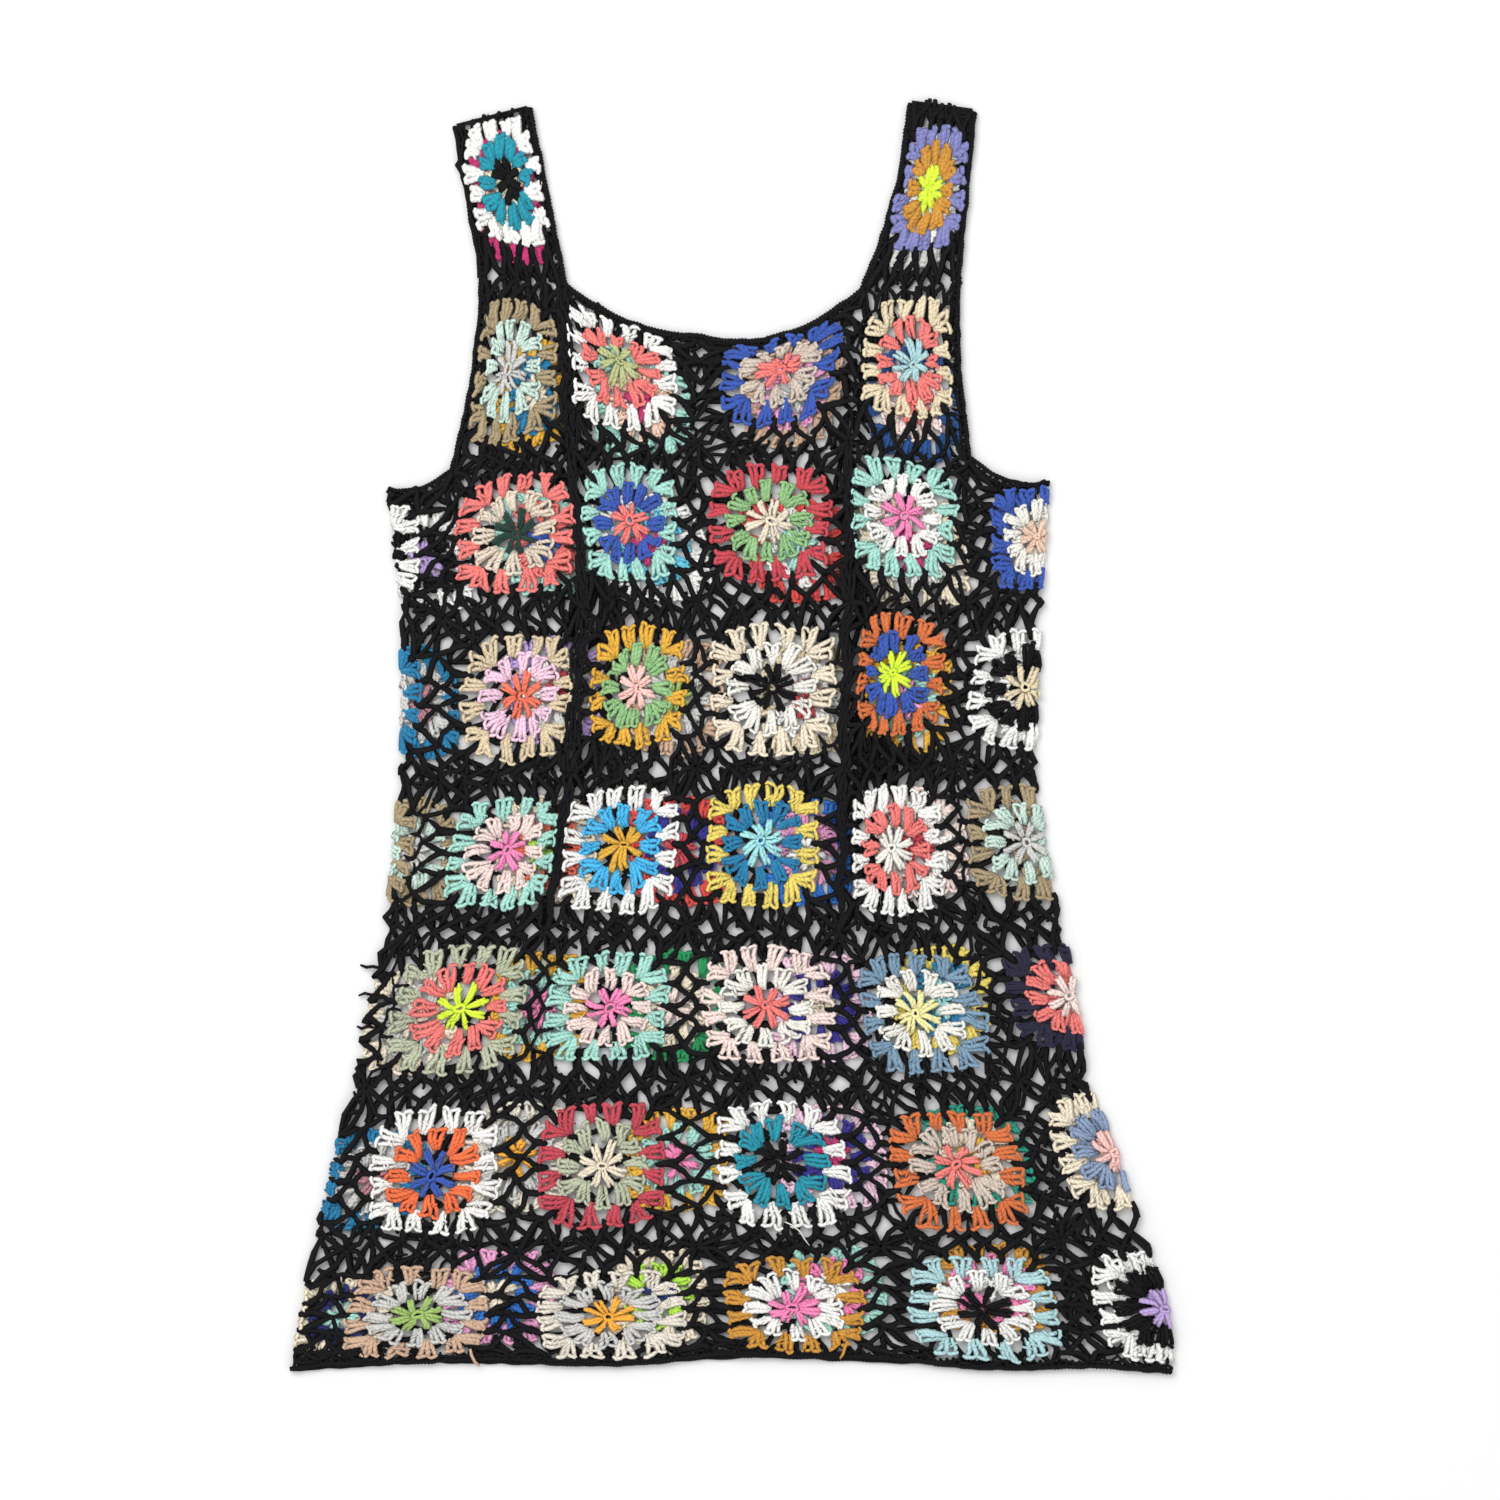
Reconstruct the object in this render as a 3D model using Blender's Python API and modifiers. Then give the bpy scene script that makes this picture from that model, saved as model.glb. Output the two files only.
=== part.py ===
"""Crochet dress of joined granny squares, laid flat on its back.

X runs across the dress, Y runs up from the hem to the shoulders and Z is up from the surface.
The body is a tube pressed flat: six rounds of ten squares, each built as a front and a back strip
that meet at the side folds.  A yoke row, four strap squares and the crochet edgings finish it.
"""

from collections import namedtuple
import math

import bmesh
import bpy
from mathutils import Vector

MM = 0.001

# Cloth
PETAL_WALL = 3.0 * MM        # thickness over the petals of a square
NET_WALL = 2.0 * MM          # thickness of the black net, of the back layer and of the edgings
SEAM_GAP = 0.3 * MM          # between two pieces that are joined
FRONT_Z = NET_WALL + SEAM_GAP
BACK_Z = 0.0

# One square, in its own coordinates: -1 to 1 across and from its lower to its upper edge
SPOKES = 16                  # gaps between the clusters of a square's outer round
PETAL_REACH = 0.78           # half width of the coloured clusters over half the square
PETAL_SQUARENESS = 0.55      # 0 a round flower, 1 a square one
PETAL_EDGE_RELIEF = 0.9      # share of the full petal thickness
MESH_RIM = 0.07              # black net left round a cut mesh hole
HOLE_SPOKES = (1, 5, 9, 13)  # the largest hole of each corner lies after these spokes

# Edgings
NECK_WIDTH = 3.2 * MM
ARMHOLE_WIDTH = 2.4 * MM
HEM_WIDTH = 3.2 * MM
EDGE_STEP = 0.5              # spacing of edging points along a square, in square coordinates

# Rounds of the body
SQUARES_IN_ROUND = 10
SQUARES_ACROSS = 6           # on one side of a round, the outer two cut by the side folds
RIDGE_SPREAD = 0.16          # half width of a gathered ridge, in squares

# A seam line runs across the dress between two rounds, in millimetres.
# x and y: left side fold, the seams between the squares, right side fold.
# sag: how far the line hangs under the straight between two of those, one for each square.
# left and right: how many squares round the tube the folds lie, counted in the first and last square.
# ridges: height of the gathered ridges along the second and fourth seams and of the tuck beside it.
SeamLine = namedtuple("SeamLine", "x y sag left right ridges")
FLAT = (0, 0, 0, 0, 0, 0)
SEAM_LINES = (
    SeamLine((-218.5, -177.0, -101.4, -23.2, 74.1, 150.4, 201.3),
             (157.5, 169.5, 183.5, 186.7, 189.8, 178.4, 161.0), (6, 0, 0, 0, 0, 7), 0.55, 0.61, (4, 4, 0)),
    SeamLine((-210.2, -185.4, -93.8, -21.9, 74.1, 148.5, 196.8),
             (80.5, 77.3, 83.0, 86.2, 89.4, 86.2, 88.0), FLAT, 0.71, 0.58, (6, 6, 2)),
    SeamLine((-210.2, -188.6, -102.7, -21.9, 70.9, 140.9, 191.8),
             (-18.8, -26.4, -21.9, -18.8, -16.9, -18.8, -18.8), FLAT, 0.76, 0.61, (5, 5, 5)),
    SeamLine((-220.4, -207.7, -117.3, -27.7, 69.0, 150.4, 207.7),
             (-118.6, -123.1, -122.4, -121.8, -121.8, -118.6, -116.7), FLAT, 0.82, 0.61, (2, 2, 2)),
    SeamLine((-242.6, -231.2, -130.7, -28.9, 80.5, 182.2, 224.8),
             (-220.4, -224.8, -221.6, -219.1, -221.0, -219.1, -217.2), FLAT, 0.87, 0.54, (0, 0, 0)),
    SeamLine((-264.9, -245.8, -137.7, -20.7, 94.4, 208.9, 261.7),
             (-319.0, -325.3, -327.9, -322.8, -320.9, -319.0, -315.8), FLAT, 0.80, 0.50, (0, 0, 0)),
    SeamLine((-280.5, -263.0, -140.9, -14.9, 102.1, 229.3, 280.1),
             (-398.5, -396.0, -392.0, -389.5, -391.5, -396.5, -400.5), (0, 0, 5, 0, 4, 0),
             0.83, 0.52, (0, 0, 0)),
)
RIDGE_PLACES = (2.0, 4.0, 4.4)
# How far the right side fold bulges past the straight in the middle of each round
FOLD_BULGE = (1, 1, 1, 4, 3, 6)

# The yoke's upper line over four squares, as x, y and sag, and the shoulder line over the straps.
# The front and the back have one outline above the armholes.
YOKE_TOP = ((-157.4, -107.8, -20.7, 84.3, 142.8), (294.1, 287.8, 254.1, 284.0, 291.6), (0, 9, 15, 0))
YOKE_BOW = (4, -3)           # the armhole sides of the yoke bow towards +X
SHOULDERS = {
    "left": ((-174.6, 388.9), (-130.1, 400.3)),
    "right": ((114.8, 403.5), (153.0, 398.4)),
}
STRAP_BOW = {"left": (0, 0), "right": (6, 0)}
STRAP_COLUMN = {"left": 0, "right": 3}

BLACK_YARN = (0.012, 0.011, 0.012)
YARN_ROUGHNESS = 0.9

# A square's outline on the dress: four corners, the sag of its upper and lower side, the bow of its
# left and right side, where a side fold cuts it (in square coordinates, at its lower and upper side),
# its place round the tube and the ridge heights at its lower and upper side.
Cell = namedtuple("Cell", "tl tr bl br sag_top sag_bottom bow_left bow_right cut_left cut_right "
                          "place ridges_bottom ridges_top z")
WHOLE_LEFT = (-1.0, -1.0)
WHOLE_RIGHT = (1.0, 1.0)
NO_RIDGES = (0, 0, 0)


def mix(start, end, share):
    return start + (end - start) * share


def hump(share):
    """0 at both ends and 1 in the middle."""
    return 4.0 * share * (1.0 - share)


def line_height(line, x):
    """Height of a seam line at x, both in millimetres."""
    for column in range(len(line.x) - 1):
        if x <= line.x[column + 1] or column == len(line.x) - 2:
            share = (x - line.x[column]) / (line.x[column + 1] - line.x[column])
            return mix(line.y[column], line.y[column + 1], share) - line.sag[column] * hump(share)


def back_seams(line):
    """X of the back's seams from left to right, spread evenly round the tube between the folds."""
    last_front = SQUARES_IN_ROUND // 2
    squares = last_front + line.left - line.right
    width = (line.x[-1] - line.x[0]) / squares
    seams = [line.x[-1] - (step - line.right) * width for step in range(1, last_front + 1)]
    return [line.x[0]] + seams[::-1] + [line.x[-1]]


def line_points(line, side):
    """Corner points of a side's squares along a seam line."""
    if side == "front" or line is SEAM_LINES[0]:
        return list(zip(line.x, line.y))
    return [(x, line_height(line, x)) for x in back_seams(line)]


def round_cells(index, side):
    """The six squares, the outer two cut by the side folds, of one side of a round."""
    upper, lower = SEAM_LINES[index], SEAM_LINES[index + 1]
    tops, bottoms = line_points(upper, side), line_points(lower, side)
    front = side == "front"
    sag_tops = upper.sag if front or index == 0 else FLAT
    sag_bottoms = lower.sag if front else FLAT
    cells = []
    for column in range(SQUARES_ACROSS):
        cut_left, cut_right = WHOLE_LEFT, WHOLE_RIGHT
        if column == 0:
            shown = [1.0 - line.left if front else line.left for line in (lower, upper)]
            cut_left = tuple(1.0 - 2.0 * share for share in shown)
        if column == SQUARES_ACROSS - 1:
            shown = [line.right if front else 1.0 - line.right for line in (lower, upper)]
            cut_right = tuple(2.0 * share - 1.0 for share in shown)
        cells.append(Cell(
            tops[column], tops[column + 1], bottoms[column], bottoms[column + 1],
            sag_tops[column], sag_bottoms[column],
            0, FOLD_BULGE[index] if column == SQUARES_ACROSS - 1 else 0, cut_left, cut_right, column,
            lower.ridges if front else NO_RIDGES, upper.ridges if front else NO_RIDGES,
            FRONT_Z if front else BACK_Z))
    return cells


def yoke_cells(side):
    """The four squares of the yoke row on one side."""
    xs, ys, sags = YOKE_TOP
    tops = list(zip(xs, ys))
    bottoms = line_points(SEAM_LINES[0], side)[1:SQUARES_ACROSS]
    last = len(sags) - 1
    ridges = SEAM_LINES[0].ridges if side == "front" else NO_RIDGES
    cells = []
    for column, sag in enumerate(sags):
        cells.append(Cell(
            tops[column], tops[column + 1], bottoms[column], bottoms[column + 1], sag, 0,
            YOKE_BOW[0] if column == 0 else 0, YOKE_BOW[1] if column == last else 0,
            WHOLE_LEFT, WHOLE_RIGHT, column + 1, ridges, NO_RIDGES,
            FRONT_Z if side == "front" else BACK_Z))
    return cells


def strap_cell(strap, side):
    """The strap square over the end square of the yoke."""
    yoke = yoke_cells(side)[STRAP_COLUMN[strap]]
    bow_left, bow_right = STRAP_BOW[strap]
    return Cell(SHOULDERS[strap][0], SHOULDERS[strap][1], yoke.tl, yoke.tr, 0, 0, bow_left, bow_right,
                WHOLE_LEFT, WHOLE_RIGHT, 1, NO_RIDGES, NO_RIDGES, yoke.z)


def cell_point(cell, across, up, gap=SEAM_GAP):
    """Point on the cloth's lower face, from square coordinates."""
    rise = (up + 1.0) / 2.0
    left = mix(*cell.cut_left, rise)
    right = mix(*cell.cut_right, rise)
    share = (across - left) / (right - left)
    top = Vector(cell.tl).lerp(Vector(cell.tr), share) - Vector((0, cell.sag_top * hump(share)))
    bottom = Vector(cell.bl).lerp(Vector(cell.br), share) - Vector((0, cell.sag_bottom * hump(share)))
    trim = gap / MM / 2.0 / (top - bottom).length
    point = bottom.lerp(top, mix(trim, 1.0 - trim, rise))
    point.x += mix(cell.bow_left, cell.bow_right, share) * hump(rise)
    turn = cell.place + (across + 1.0) / 2.0
    lift = sum(mix(low, high, rise) * math.exp(-((turn - place) / RIDGE_SPREAD) ** 2)
               for low, high, place in zip(cell.ridges_bottom, cell.ridges_top, RIDGE_PLACES))
    return Vector((point.x * MM, point.y * MM, cell.z + lift * MM))


def spoke_direction(vert):
    """Which of the spokes a point of the blank square lies on, and its place on the square's side."""
    spoke = round(math.atan2(vert.co.y, vert.co.x) / math.tau * SPOKES) % SPOKES
    quarter = SPOKES // 4
    side, step = divmod(spoke + quarter // 2, quarter)
    along = (step - quarter // 2) / (quarter / 2)
    turn = math.tau * side / 4
    return spoke, Vector((math.cos(turn) - along * math.sin(turn), math.sin(turn) + along * math.cos(turn)))


def blank_square(raised):
    """One square in its own coordinates: a disc inset for its petals, stretched square and pierced."""
    mesh = bmesh.new()
    bmesh.ops.create_circle(mesh, cap_ends=True, radius=1.0, segments=SPOKES)
    weights = mesh.verts.layers.deform.verify()
    petals = mesh.faces[:]
    ring = bmesh.ops.inset_individual(mesh, faces=petals, thickness=1.0 - PETAL_REACH)["faces"]
    petal_verts = set(petals[0].verts)
    for vert in mesh.verts:
        spoke, square = spoke_direction(vert)
        round_place = Vector((math.cos(spoke / SPOKES * math.tau), math.sin(spoke / SPOKES * math.tau)))
        on_petals = vert in petal_verts
        place = round_place.lerp(square, PETAL_SQUARENESS) * PETAL_REACH if on_petals else square
        vert.co = (place.x, place.y, 0)
        vert[weights][0] = PETAL_EDGE_RELIEF if on_petals and raised else NET_WALL / PETAL_WALL
    holes = [face for face in ring if hole_face(face)]
    bmesh.ops.inset_individual(mesh, faces=holes, thickness=MESH_RIM)
    bmesh.ops.delete(mesh, geom=holes, context="FACES")
    if raised:
        centre = bmesh.ops.poke(mesh, faces=petals)["verts"][0]
        centre[weights][0] = 1.0
    return mesh


def hole_face(face):
    """True for the ring face that starts at one of the hole spokes."""
    centre = face.calc_center_median()
    spoke = math.floor(math.atan2(centre.y, centre.x) / math.tau * SPOKES) % SPOKES
    return spoke in HOLE_SPOKES


def cut_at_fold(mesh, low, high, keep_right):
    """Trims a blank square along the side fold that runs from its lower to its upper edge."""
    normal = Vector((2.0, low - high, 0.0)).normalized()
    if not keep_right:
        normal.negate()
    bmesh.ops.bisect_plane(mesh, geom=mesh.verts[:] + mesh.edges[:] + mesh.faces[:], dist=1e-4,
                           plane_co=(low, -1.0, 0.0), plane_no=normal, clear_inner=True)


def cell_mesh(cell, raised):
    mesh = blank_square(raised)
    if cell.cut_left != WHOLE_LEFT:
        cut_at_fold(mesh, *cell.cut_left, keep_right=True)
    if cell.cut_right != WHOLE_RIGHT:
        cut_at_fold(mesh, *cell.cut_right, keep_right=False)
    for vert in mesh.verts:
        vert.co = cell_point(cell, vert.co.x, vert.co.y)
    return mesh


def add_piece(name, mesh, collection, material, parent):
    """Makes an object of an open sheet, facing up."""
    mesh.normal_update()
    for face in mesh.faces:
        if face.normal.z < 0:
            face.normal_flip()
    data = bpy.data.meshes.new(name)
    mesh.to_mesh(data)
    mesh.free()
    data.materials.append(material)
    piece = bpy.data.objects.new(name, data)
    piece.parent = parent
    collection.objects.link(piece)
    return piece


def thicken(piece, thickness, group=""):
    wall = piece.modifiers.new("wall", "SOLIDIFY")
    wall.thickness = thickness
    wall.offset = 1.0
    wall.use_even_offset = False
    if group:
        piece.vertex_groups.new(name=group)
        wall.vertex_group = group


def add_cloth(name, cells, raised, studio):
    """One strip or panel of joined squares."""
    joined = bmesh.new()
    joined.verts.layers.deform.verify()
    for cell in cells:
        part = cell_mesh(cell, raised)
        blank = bpy.data.meshes.new("square")
        part.to_mesh(blank)
        part.free()
        joined.from_mesh(blank)
        bpy.data.meshes.remove(blank)
    bmesh.ops.remove_doubles(joined, verts=joined.verts, dist=1e-5)
    piece = add_piece(name, joined, *studio)
    thicken(piece, PETAL_WALL, group="relief")
    return piece


def side_points(cell, side):
    """Points along one side of a square, on the seam line itself; left and right sides run down."""
    steps = [1.0 - EDGE_STEP * step for step in range(int(2 / EDGE_STEP) + 1)]
    if side == "left":
        return [cell_point(cell, mix(*cell.cut_left, (up + 1) / 2), up) for up in steps]
    if side == "right":
        return [cell_point(cell, mix(*cell.cut_right, (up + 1) / 2), up) for up in steps]
    up, rise = (1.0, 1) if side == "top" else (-1.0, 0)
    left, right = cell.cut_left[rise], cell.cut_right[rise]
    inner = [across for across in steps[::-1] if left + 1e-4 < across < right - 1e-4]
    return [cell_point(cell, across, up) for across in [left] + inner + [right]]


def without_repeats(points):
    kept = [points[0]]
    for point in points[1:]:
        if (point - kept[-1]).length > SEAM_GAP * 2:
            kept.append(point)
    return kept


def offset_path(points, distance):
    """The path moved to its left by a distance, with mitred corners."""
    moved = []
    for index, point in enumerate(points):
        before = points[max(index - 1, 0)]
        after = points[min(index + 1, len(points) - 1)]
        sides = []
        for start, end in ((before, point), (point, after)):
            run = (end - start).to_2d()
            if run.length > 0:
                sides.append(Vector((-run.y, run.x)).normalized())
        normal = sum(sides, Vector((0, 0))).normalized()
        shift = normal * distance / normal.dot(sides[0])
        moved.append(point + shift.to_3d())
    return moved


def add_edging(name, path, width, studio):
    """A flat crochet band along the left of a path, a seam gap away from it."""
    path = without_repeats(path)
    inner = offset_path(path, SEAM_GAP)
    outer = offset_path(path, SEAM_GAP + width)
    band = bmesh.new()
    rows = [[band.verts.new(point) for point in row] for row in (inner, outer)]
    rails = [[band.edges.new(pair) for pair in zip(row, row[1:])] for row in rows]
    bmesh.ops.bridge_loops(band, edges=rails[0] + rails[1])
    thicken(add_piece(name, band, *studio), NET_WALL)


def strap_and_yoke_paths(side):
    """Neckline and the two armhole lines of one side, each with its free side on its left."""
    yoke = yoke_cells(side)
    left, right = strap_cell("left", side), strap_cell("right", side)
    first_round = round_cells(0, side)
    neck = side_points(left, "right") + side_points(yoke[1], "top") + side_points(yoke[2], "top")
    neck += side_points(right, "left")[::-1]
    left_arm = side_points(first_round[0], "top") + side_points(yoke[0], "left")[::-1]
    left_arm += side_points(left, "left")[::-1]
    right_arm = side_points(right, "right") + side_points(yoke[3], "right")
    right_arm += side_points(first_round[-1], "top")
    return neck, left_arm, right_arm


def hem_path(side):
    """The last round's lower edge from right to left, so that its free side is on the left."""
    points = []
    for cell in round_cells(len(SEAM_LINES) - 2, side):
        points += side_points(cell, "bottom")
    return points[::-1]


def yarn_material():
    material = bpy.data.materials.new("black_cotton")
    material.use_nodes = True
    shader = material.node_tree.nodes["Principled BSDF"]
    shader.inputs["Base Color"].default_value = (*BLACK_YARN, 1.0)
    shader.inputs["Roughness"].default_value = YARN_ROUGHNESS
    shader.inputs["Metallic"].default_value = 0.0
    return material


def clear_scene():
    for old in list(bpy.data.objects):
        bpy.data.objects.remove(old, do_unlink=True)


def main():
    clear_scene()
    collection = bpy.data.collections.new("crochet_dress")
    bpy.context.scene.collection.children.link(collection)
    frame = bpy.data.objects.new("dress_frame", None)
    collection.objects.link(frame)
    studio = (collection, yarn_material(), frame)

    for side in ("front", "back"):
        raised = side == "front"
        for index in range(len(SEAM_LINES) - 1):
            add_cloth(f"round_{index + 1}_{side}", round_cells(index, side), raised, studio)
        add_cloth(f"yoke_{side}", yoke_cells(side), raised, studio)
        for strap in ("left", "right"):
            add_cloth(f"strap_{strap}_{side}", [strap_cell(strap, side)], raised, studio)
        neck, left_arm, right_arm = strap_and_yoke_paths(side)
        add_edging(f"neck_edging_{side}", neck, NECK_WIDTH, studio)
        add_edging(f"armhole_edging_left_{side}", left_arm, ARMHOLE_WIDTH, studio)
        add_edging(f"armhole_edging_right_{side}", right_arm, ARMHOLE_WIDTH, studio)
        add_edging(f"hem_edging_{side}", hem_path(side), HEM_WIDTH, studio)


main()
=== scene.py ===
"""Crochet dress of joined granny squares: every strand of its yarn, laid flat on a pale floor.

A square is worked out once in its own coordinates, -1 to 1 across and up.  Each of the 72 squares then
takes its place, its yarns and its flower's size from the tables below.  Tables are in millimetres.
"""

from collections import namedtuple
import math

import bpy
import numpy as np
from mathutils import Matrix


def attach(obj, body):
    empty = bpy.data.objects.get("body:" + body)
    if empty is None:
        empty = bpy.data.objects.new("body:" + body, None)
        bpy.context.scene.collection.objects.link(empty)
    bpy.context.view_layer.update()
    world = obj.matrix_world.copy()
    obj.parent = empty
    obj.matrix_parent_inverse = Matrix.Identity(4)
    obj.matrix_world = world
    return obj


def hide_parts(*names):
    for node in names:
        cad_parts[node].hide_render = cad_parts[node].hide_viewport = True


bl_info = {
    "name": "Crochet dress of joined squares",
    "version": (1, 0, 0),
    "blender": (4, 5, 0),
    "location": "View3D > Sidebar > Dress",
    "description": "Builds the yarn of a crochet dress of granny squares over its packed frame",
    "category": "Add Mesh",
}

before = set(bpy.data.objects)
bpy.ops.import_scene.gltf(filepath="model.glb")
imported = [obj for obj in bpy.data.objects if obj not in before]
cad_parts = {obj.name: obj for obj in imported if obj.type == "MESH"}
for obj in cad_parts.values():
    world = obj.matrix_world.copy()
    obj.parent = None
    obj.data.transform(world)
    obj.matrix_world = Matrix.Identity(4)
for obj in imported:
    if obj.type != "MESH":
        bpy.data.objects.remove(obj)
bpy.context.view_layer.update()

MM = 0.001
BODY = "root"
TAU = math.tau

# ---------------------------------------------------------------- yarns, as seen on a screen (0 to 255)

YARNS = {
    "black": (26, 25, 27),
    "white": (246, 245, 241),
    "ivory": (243, 241, 232),
    "cream": (239, 226, 202),
    "ivory_grey": (231, 223, 208),
    "light_grey": (208, 207, 203),
    "beige": (228, 212, 192),
    "sand": (224, 205, 170),
    "straw": (231, 215, 181),
    "tan": (208, 173, 145),
    "khaki": (173, 154, 119),
    "taupe": (213, 197, 183),
    "peach": (240, 204, 180),
    "salmon": (252, 203, 193),
    "coral": (244, 122, 116),
    "soft_coral": (244, 128, 120),
    "orange_coral": (252, 118, 86),
    "coral_red": (226, 66, 60),
    "orange": (246, 108, 44),
    "dark_orange": (219, 112, 48),
    "light_orange": (254, 178, 30),
    "rose_pink": (236, 162, 206),
    "crimson": (206, 62, 76),
    "rose_red": (200, 62, 80),
    "magenta": (196, 36, 110),
    "hot_pink": (250, 138, 192),
    "orchid": (246, 206, 227),
    "pink": (249, 134, 187),
    "pale_pink": (246, 224, 216),
    "dusty_pink": (190, 130, 142),
    "lilac": (190, 162, 220),
    "periwinkle": (130, 132, 192),
    "navy": (34, 44, 110),
    "dark_navy": (36, 34, 62),
    "indigo": (52, 44, 148),
    "royal_blue": (46, 86, 181),
    "deep_blue": (24, 78, 142),
    "dusty_blue": (123, 155, 180),
    "grey_blue": (140, 160, 192),
    "sky_blue": (54, 186, 240),
    "cyan": (98, 200, 226),
    "light_blue": (178, 217, 220),
    "bright_blue": (26, 112, 205),
    "teal_blue": (12, 126, 174),
    "teal": (8, 150, 172),
    "teal_green": (30, 160, 136),
    "aqua": (164, 230, 232),
    "mint": (168, 223, 209),
    "pale_mint": (204, 228, 216),
    "green": (22, 150, 88),
    "dark_green": (30, 64, 54),
    "bright_green": (148, 196, 132),
    "sage": (188, 194, 166),
    "olive_green": (192, 198, 138),
    "ochre": (208, 146, 40),
    "mustard": (233, 177, 40),
    "yellow": (237, 214, 98),
    "pale_yellow": (246, 238, 168),
    "neon_yellow": (222, 252, 34),
    "neon_lime": (184, 236, 66),
    "lime": (162, 194, 106),
}

# ---------------------------------------------------------------- the cloth, as in the solid model

NET_WALL = 2.0
SEAM_GAP = 0.3
FRONT_Z = NET_WALL + SEAM_GAP
BACK_Z = 0.0
LAYER_Z = {"front": FRONT_Z, "back": BACK_Z}
NECK_WIDTH = 3.2
ARMHOLE_WIDTH = 2.4
HEM_WIDTH = 3.2
SQUARES_IN_ROUND = 10
SQUARES_ACROSS = 6
RIDGE_SPREAD = 0.16

# A seam line runs across the dress between two rounds: the side folds and seams (x, y), how far it sags
# between them, how many squares round the tube the folds lie, and the heights of its gathered ridges.
SeamLine = namedtuple("SeamLine", "x y sag left right ridges")
FLAT = (0, 0, 0, 0, 0, 0)
SEAM_LINES = (
    SeamLine((-218.5, -177.0, -101.4, -23.2, 74.1, 150.4, 201.3),
             (157.5, 169.5, 183.5, 186.7, 189.8, 178.4, 161.0), (6, 0, 0, 0, 0, 7), 0.55, 0.61, (4, 4, 0)),
    SeamLine((-210.2, -185.4, -93.8, -21.9, 74.1, 148.5, 196.8),
             (80.5, 77.3, 83.0, 86.2, 89.4, 86.2, 88.0), FLAT, 0.71, 0.58, (6, 6, 2)),
    SeamLine((-210.2, -188.6, -102.7, -21.9, 70.9, 140.9, 191.8),
             (-18.8, -26.4, -21.9, -18.8, -16.9, -18.8, -18.8), FLAT, 0.76, 0.61, (5, 5, 5)),
    SeamLine((-220.4, -207.7, -117.3, -27.7, 69.0, 150.4, 207.7),
             (-118.6, -123.1, -122.4, -121.8, -121.8, -118.6, -116.7), FLAT, 0.82, 0.61, (2, 2, 2)),
    SeamLine((-242.6, -231.2, -130.7, -28.9, 80.5, 182.2, 224.8),
             (-220.4, -224.8, -221.6, -219.1, -221.0, -219.1, -217.2), FLAT, 0.87, 0.54, (0, 0, 0)),
    SeamLine((-264.9, -245.8, -137.7, -20.7, 94.4, 208.9, 261.7),
             (-319.0, -325.3, -327.9, -322.8, -320.9, -319.0, -315.8), FLAT, 0.80, 0.50, (0, 0, 0)),
    SeamLine((-280.5, -263.0, -140.9, -14.9, 102.1, 229.3, 280.1),
             (-398.5, -396.0, -392.0, -389.5, -391.5, -396.5, -400.5), (0, 0, 5, 0, 4, 0),
             0.83, 0.52, (0, 0, 0)),
)
ROUNDS = len(SEAM_LINES) - 1
BACK_DROP = (8, 9, 0, 0, 0, -7, 0)      # how much lower the back's seams lie, between the folds
RIDGE_PLACES = (2.0, 4.0, 4.4)          # of the gathered ridges, in squares round the tube
FOLD_BULGE = (1, 1, 1, 4, 3, 6)         # of the right side fold in each round

# The yoke's upper corners (x, y) and how far its squares sag between them, and how far its outer sides bow
YOKE_TOP = ((-157.4, -107.8, -20.7, 84.3, 142.8), (294.1, 287.8, 254.1, 284.0, 291.6), (0, 9, 15, 0))
YOKE_BOW = (4, -3)
SHOULDERS = {
    "left": ((-174.6, 388.9), (-130.1, 400.3)),
    "right": ((114.8, 403.5), (153.0, 398.4)),
}
STRAP_BOW = {"left": (0, 0), "right": (6, 0)}
STRAP_COLUMN = {"left": 0, "right": 3}

# ---------------------------------------------------------------- the squares' yarns and flowers

# A square's outer clusters, petals and centre.  flower: middle of its coloured rounds and how far they
# reach left, right, down and up, where the cloth lies stretched or bunched.
Square = namedtuple("Square", "outer petals centre flower", defaults=(None,))


def square_row(*rows):
    """Squares from rows of their three yarns and the six numbers of their flower."""
    return [Square(*yarns.split(), flower) for yarns, *flower in rows]


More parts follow.
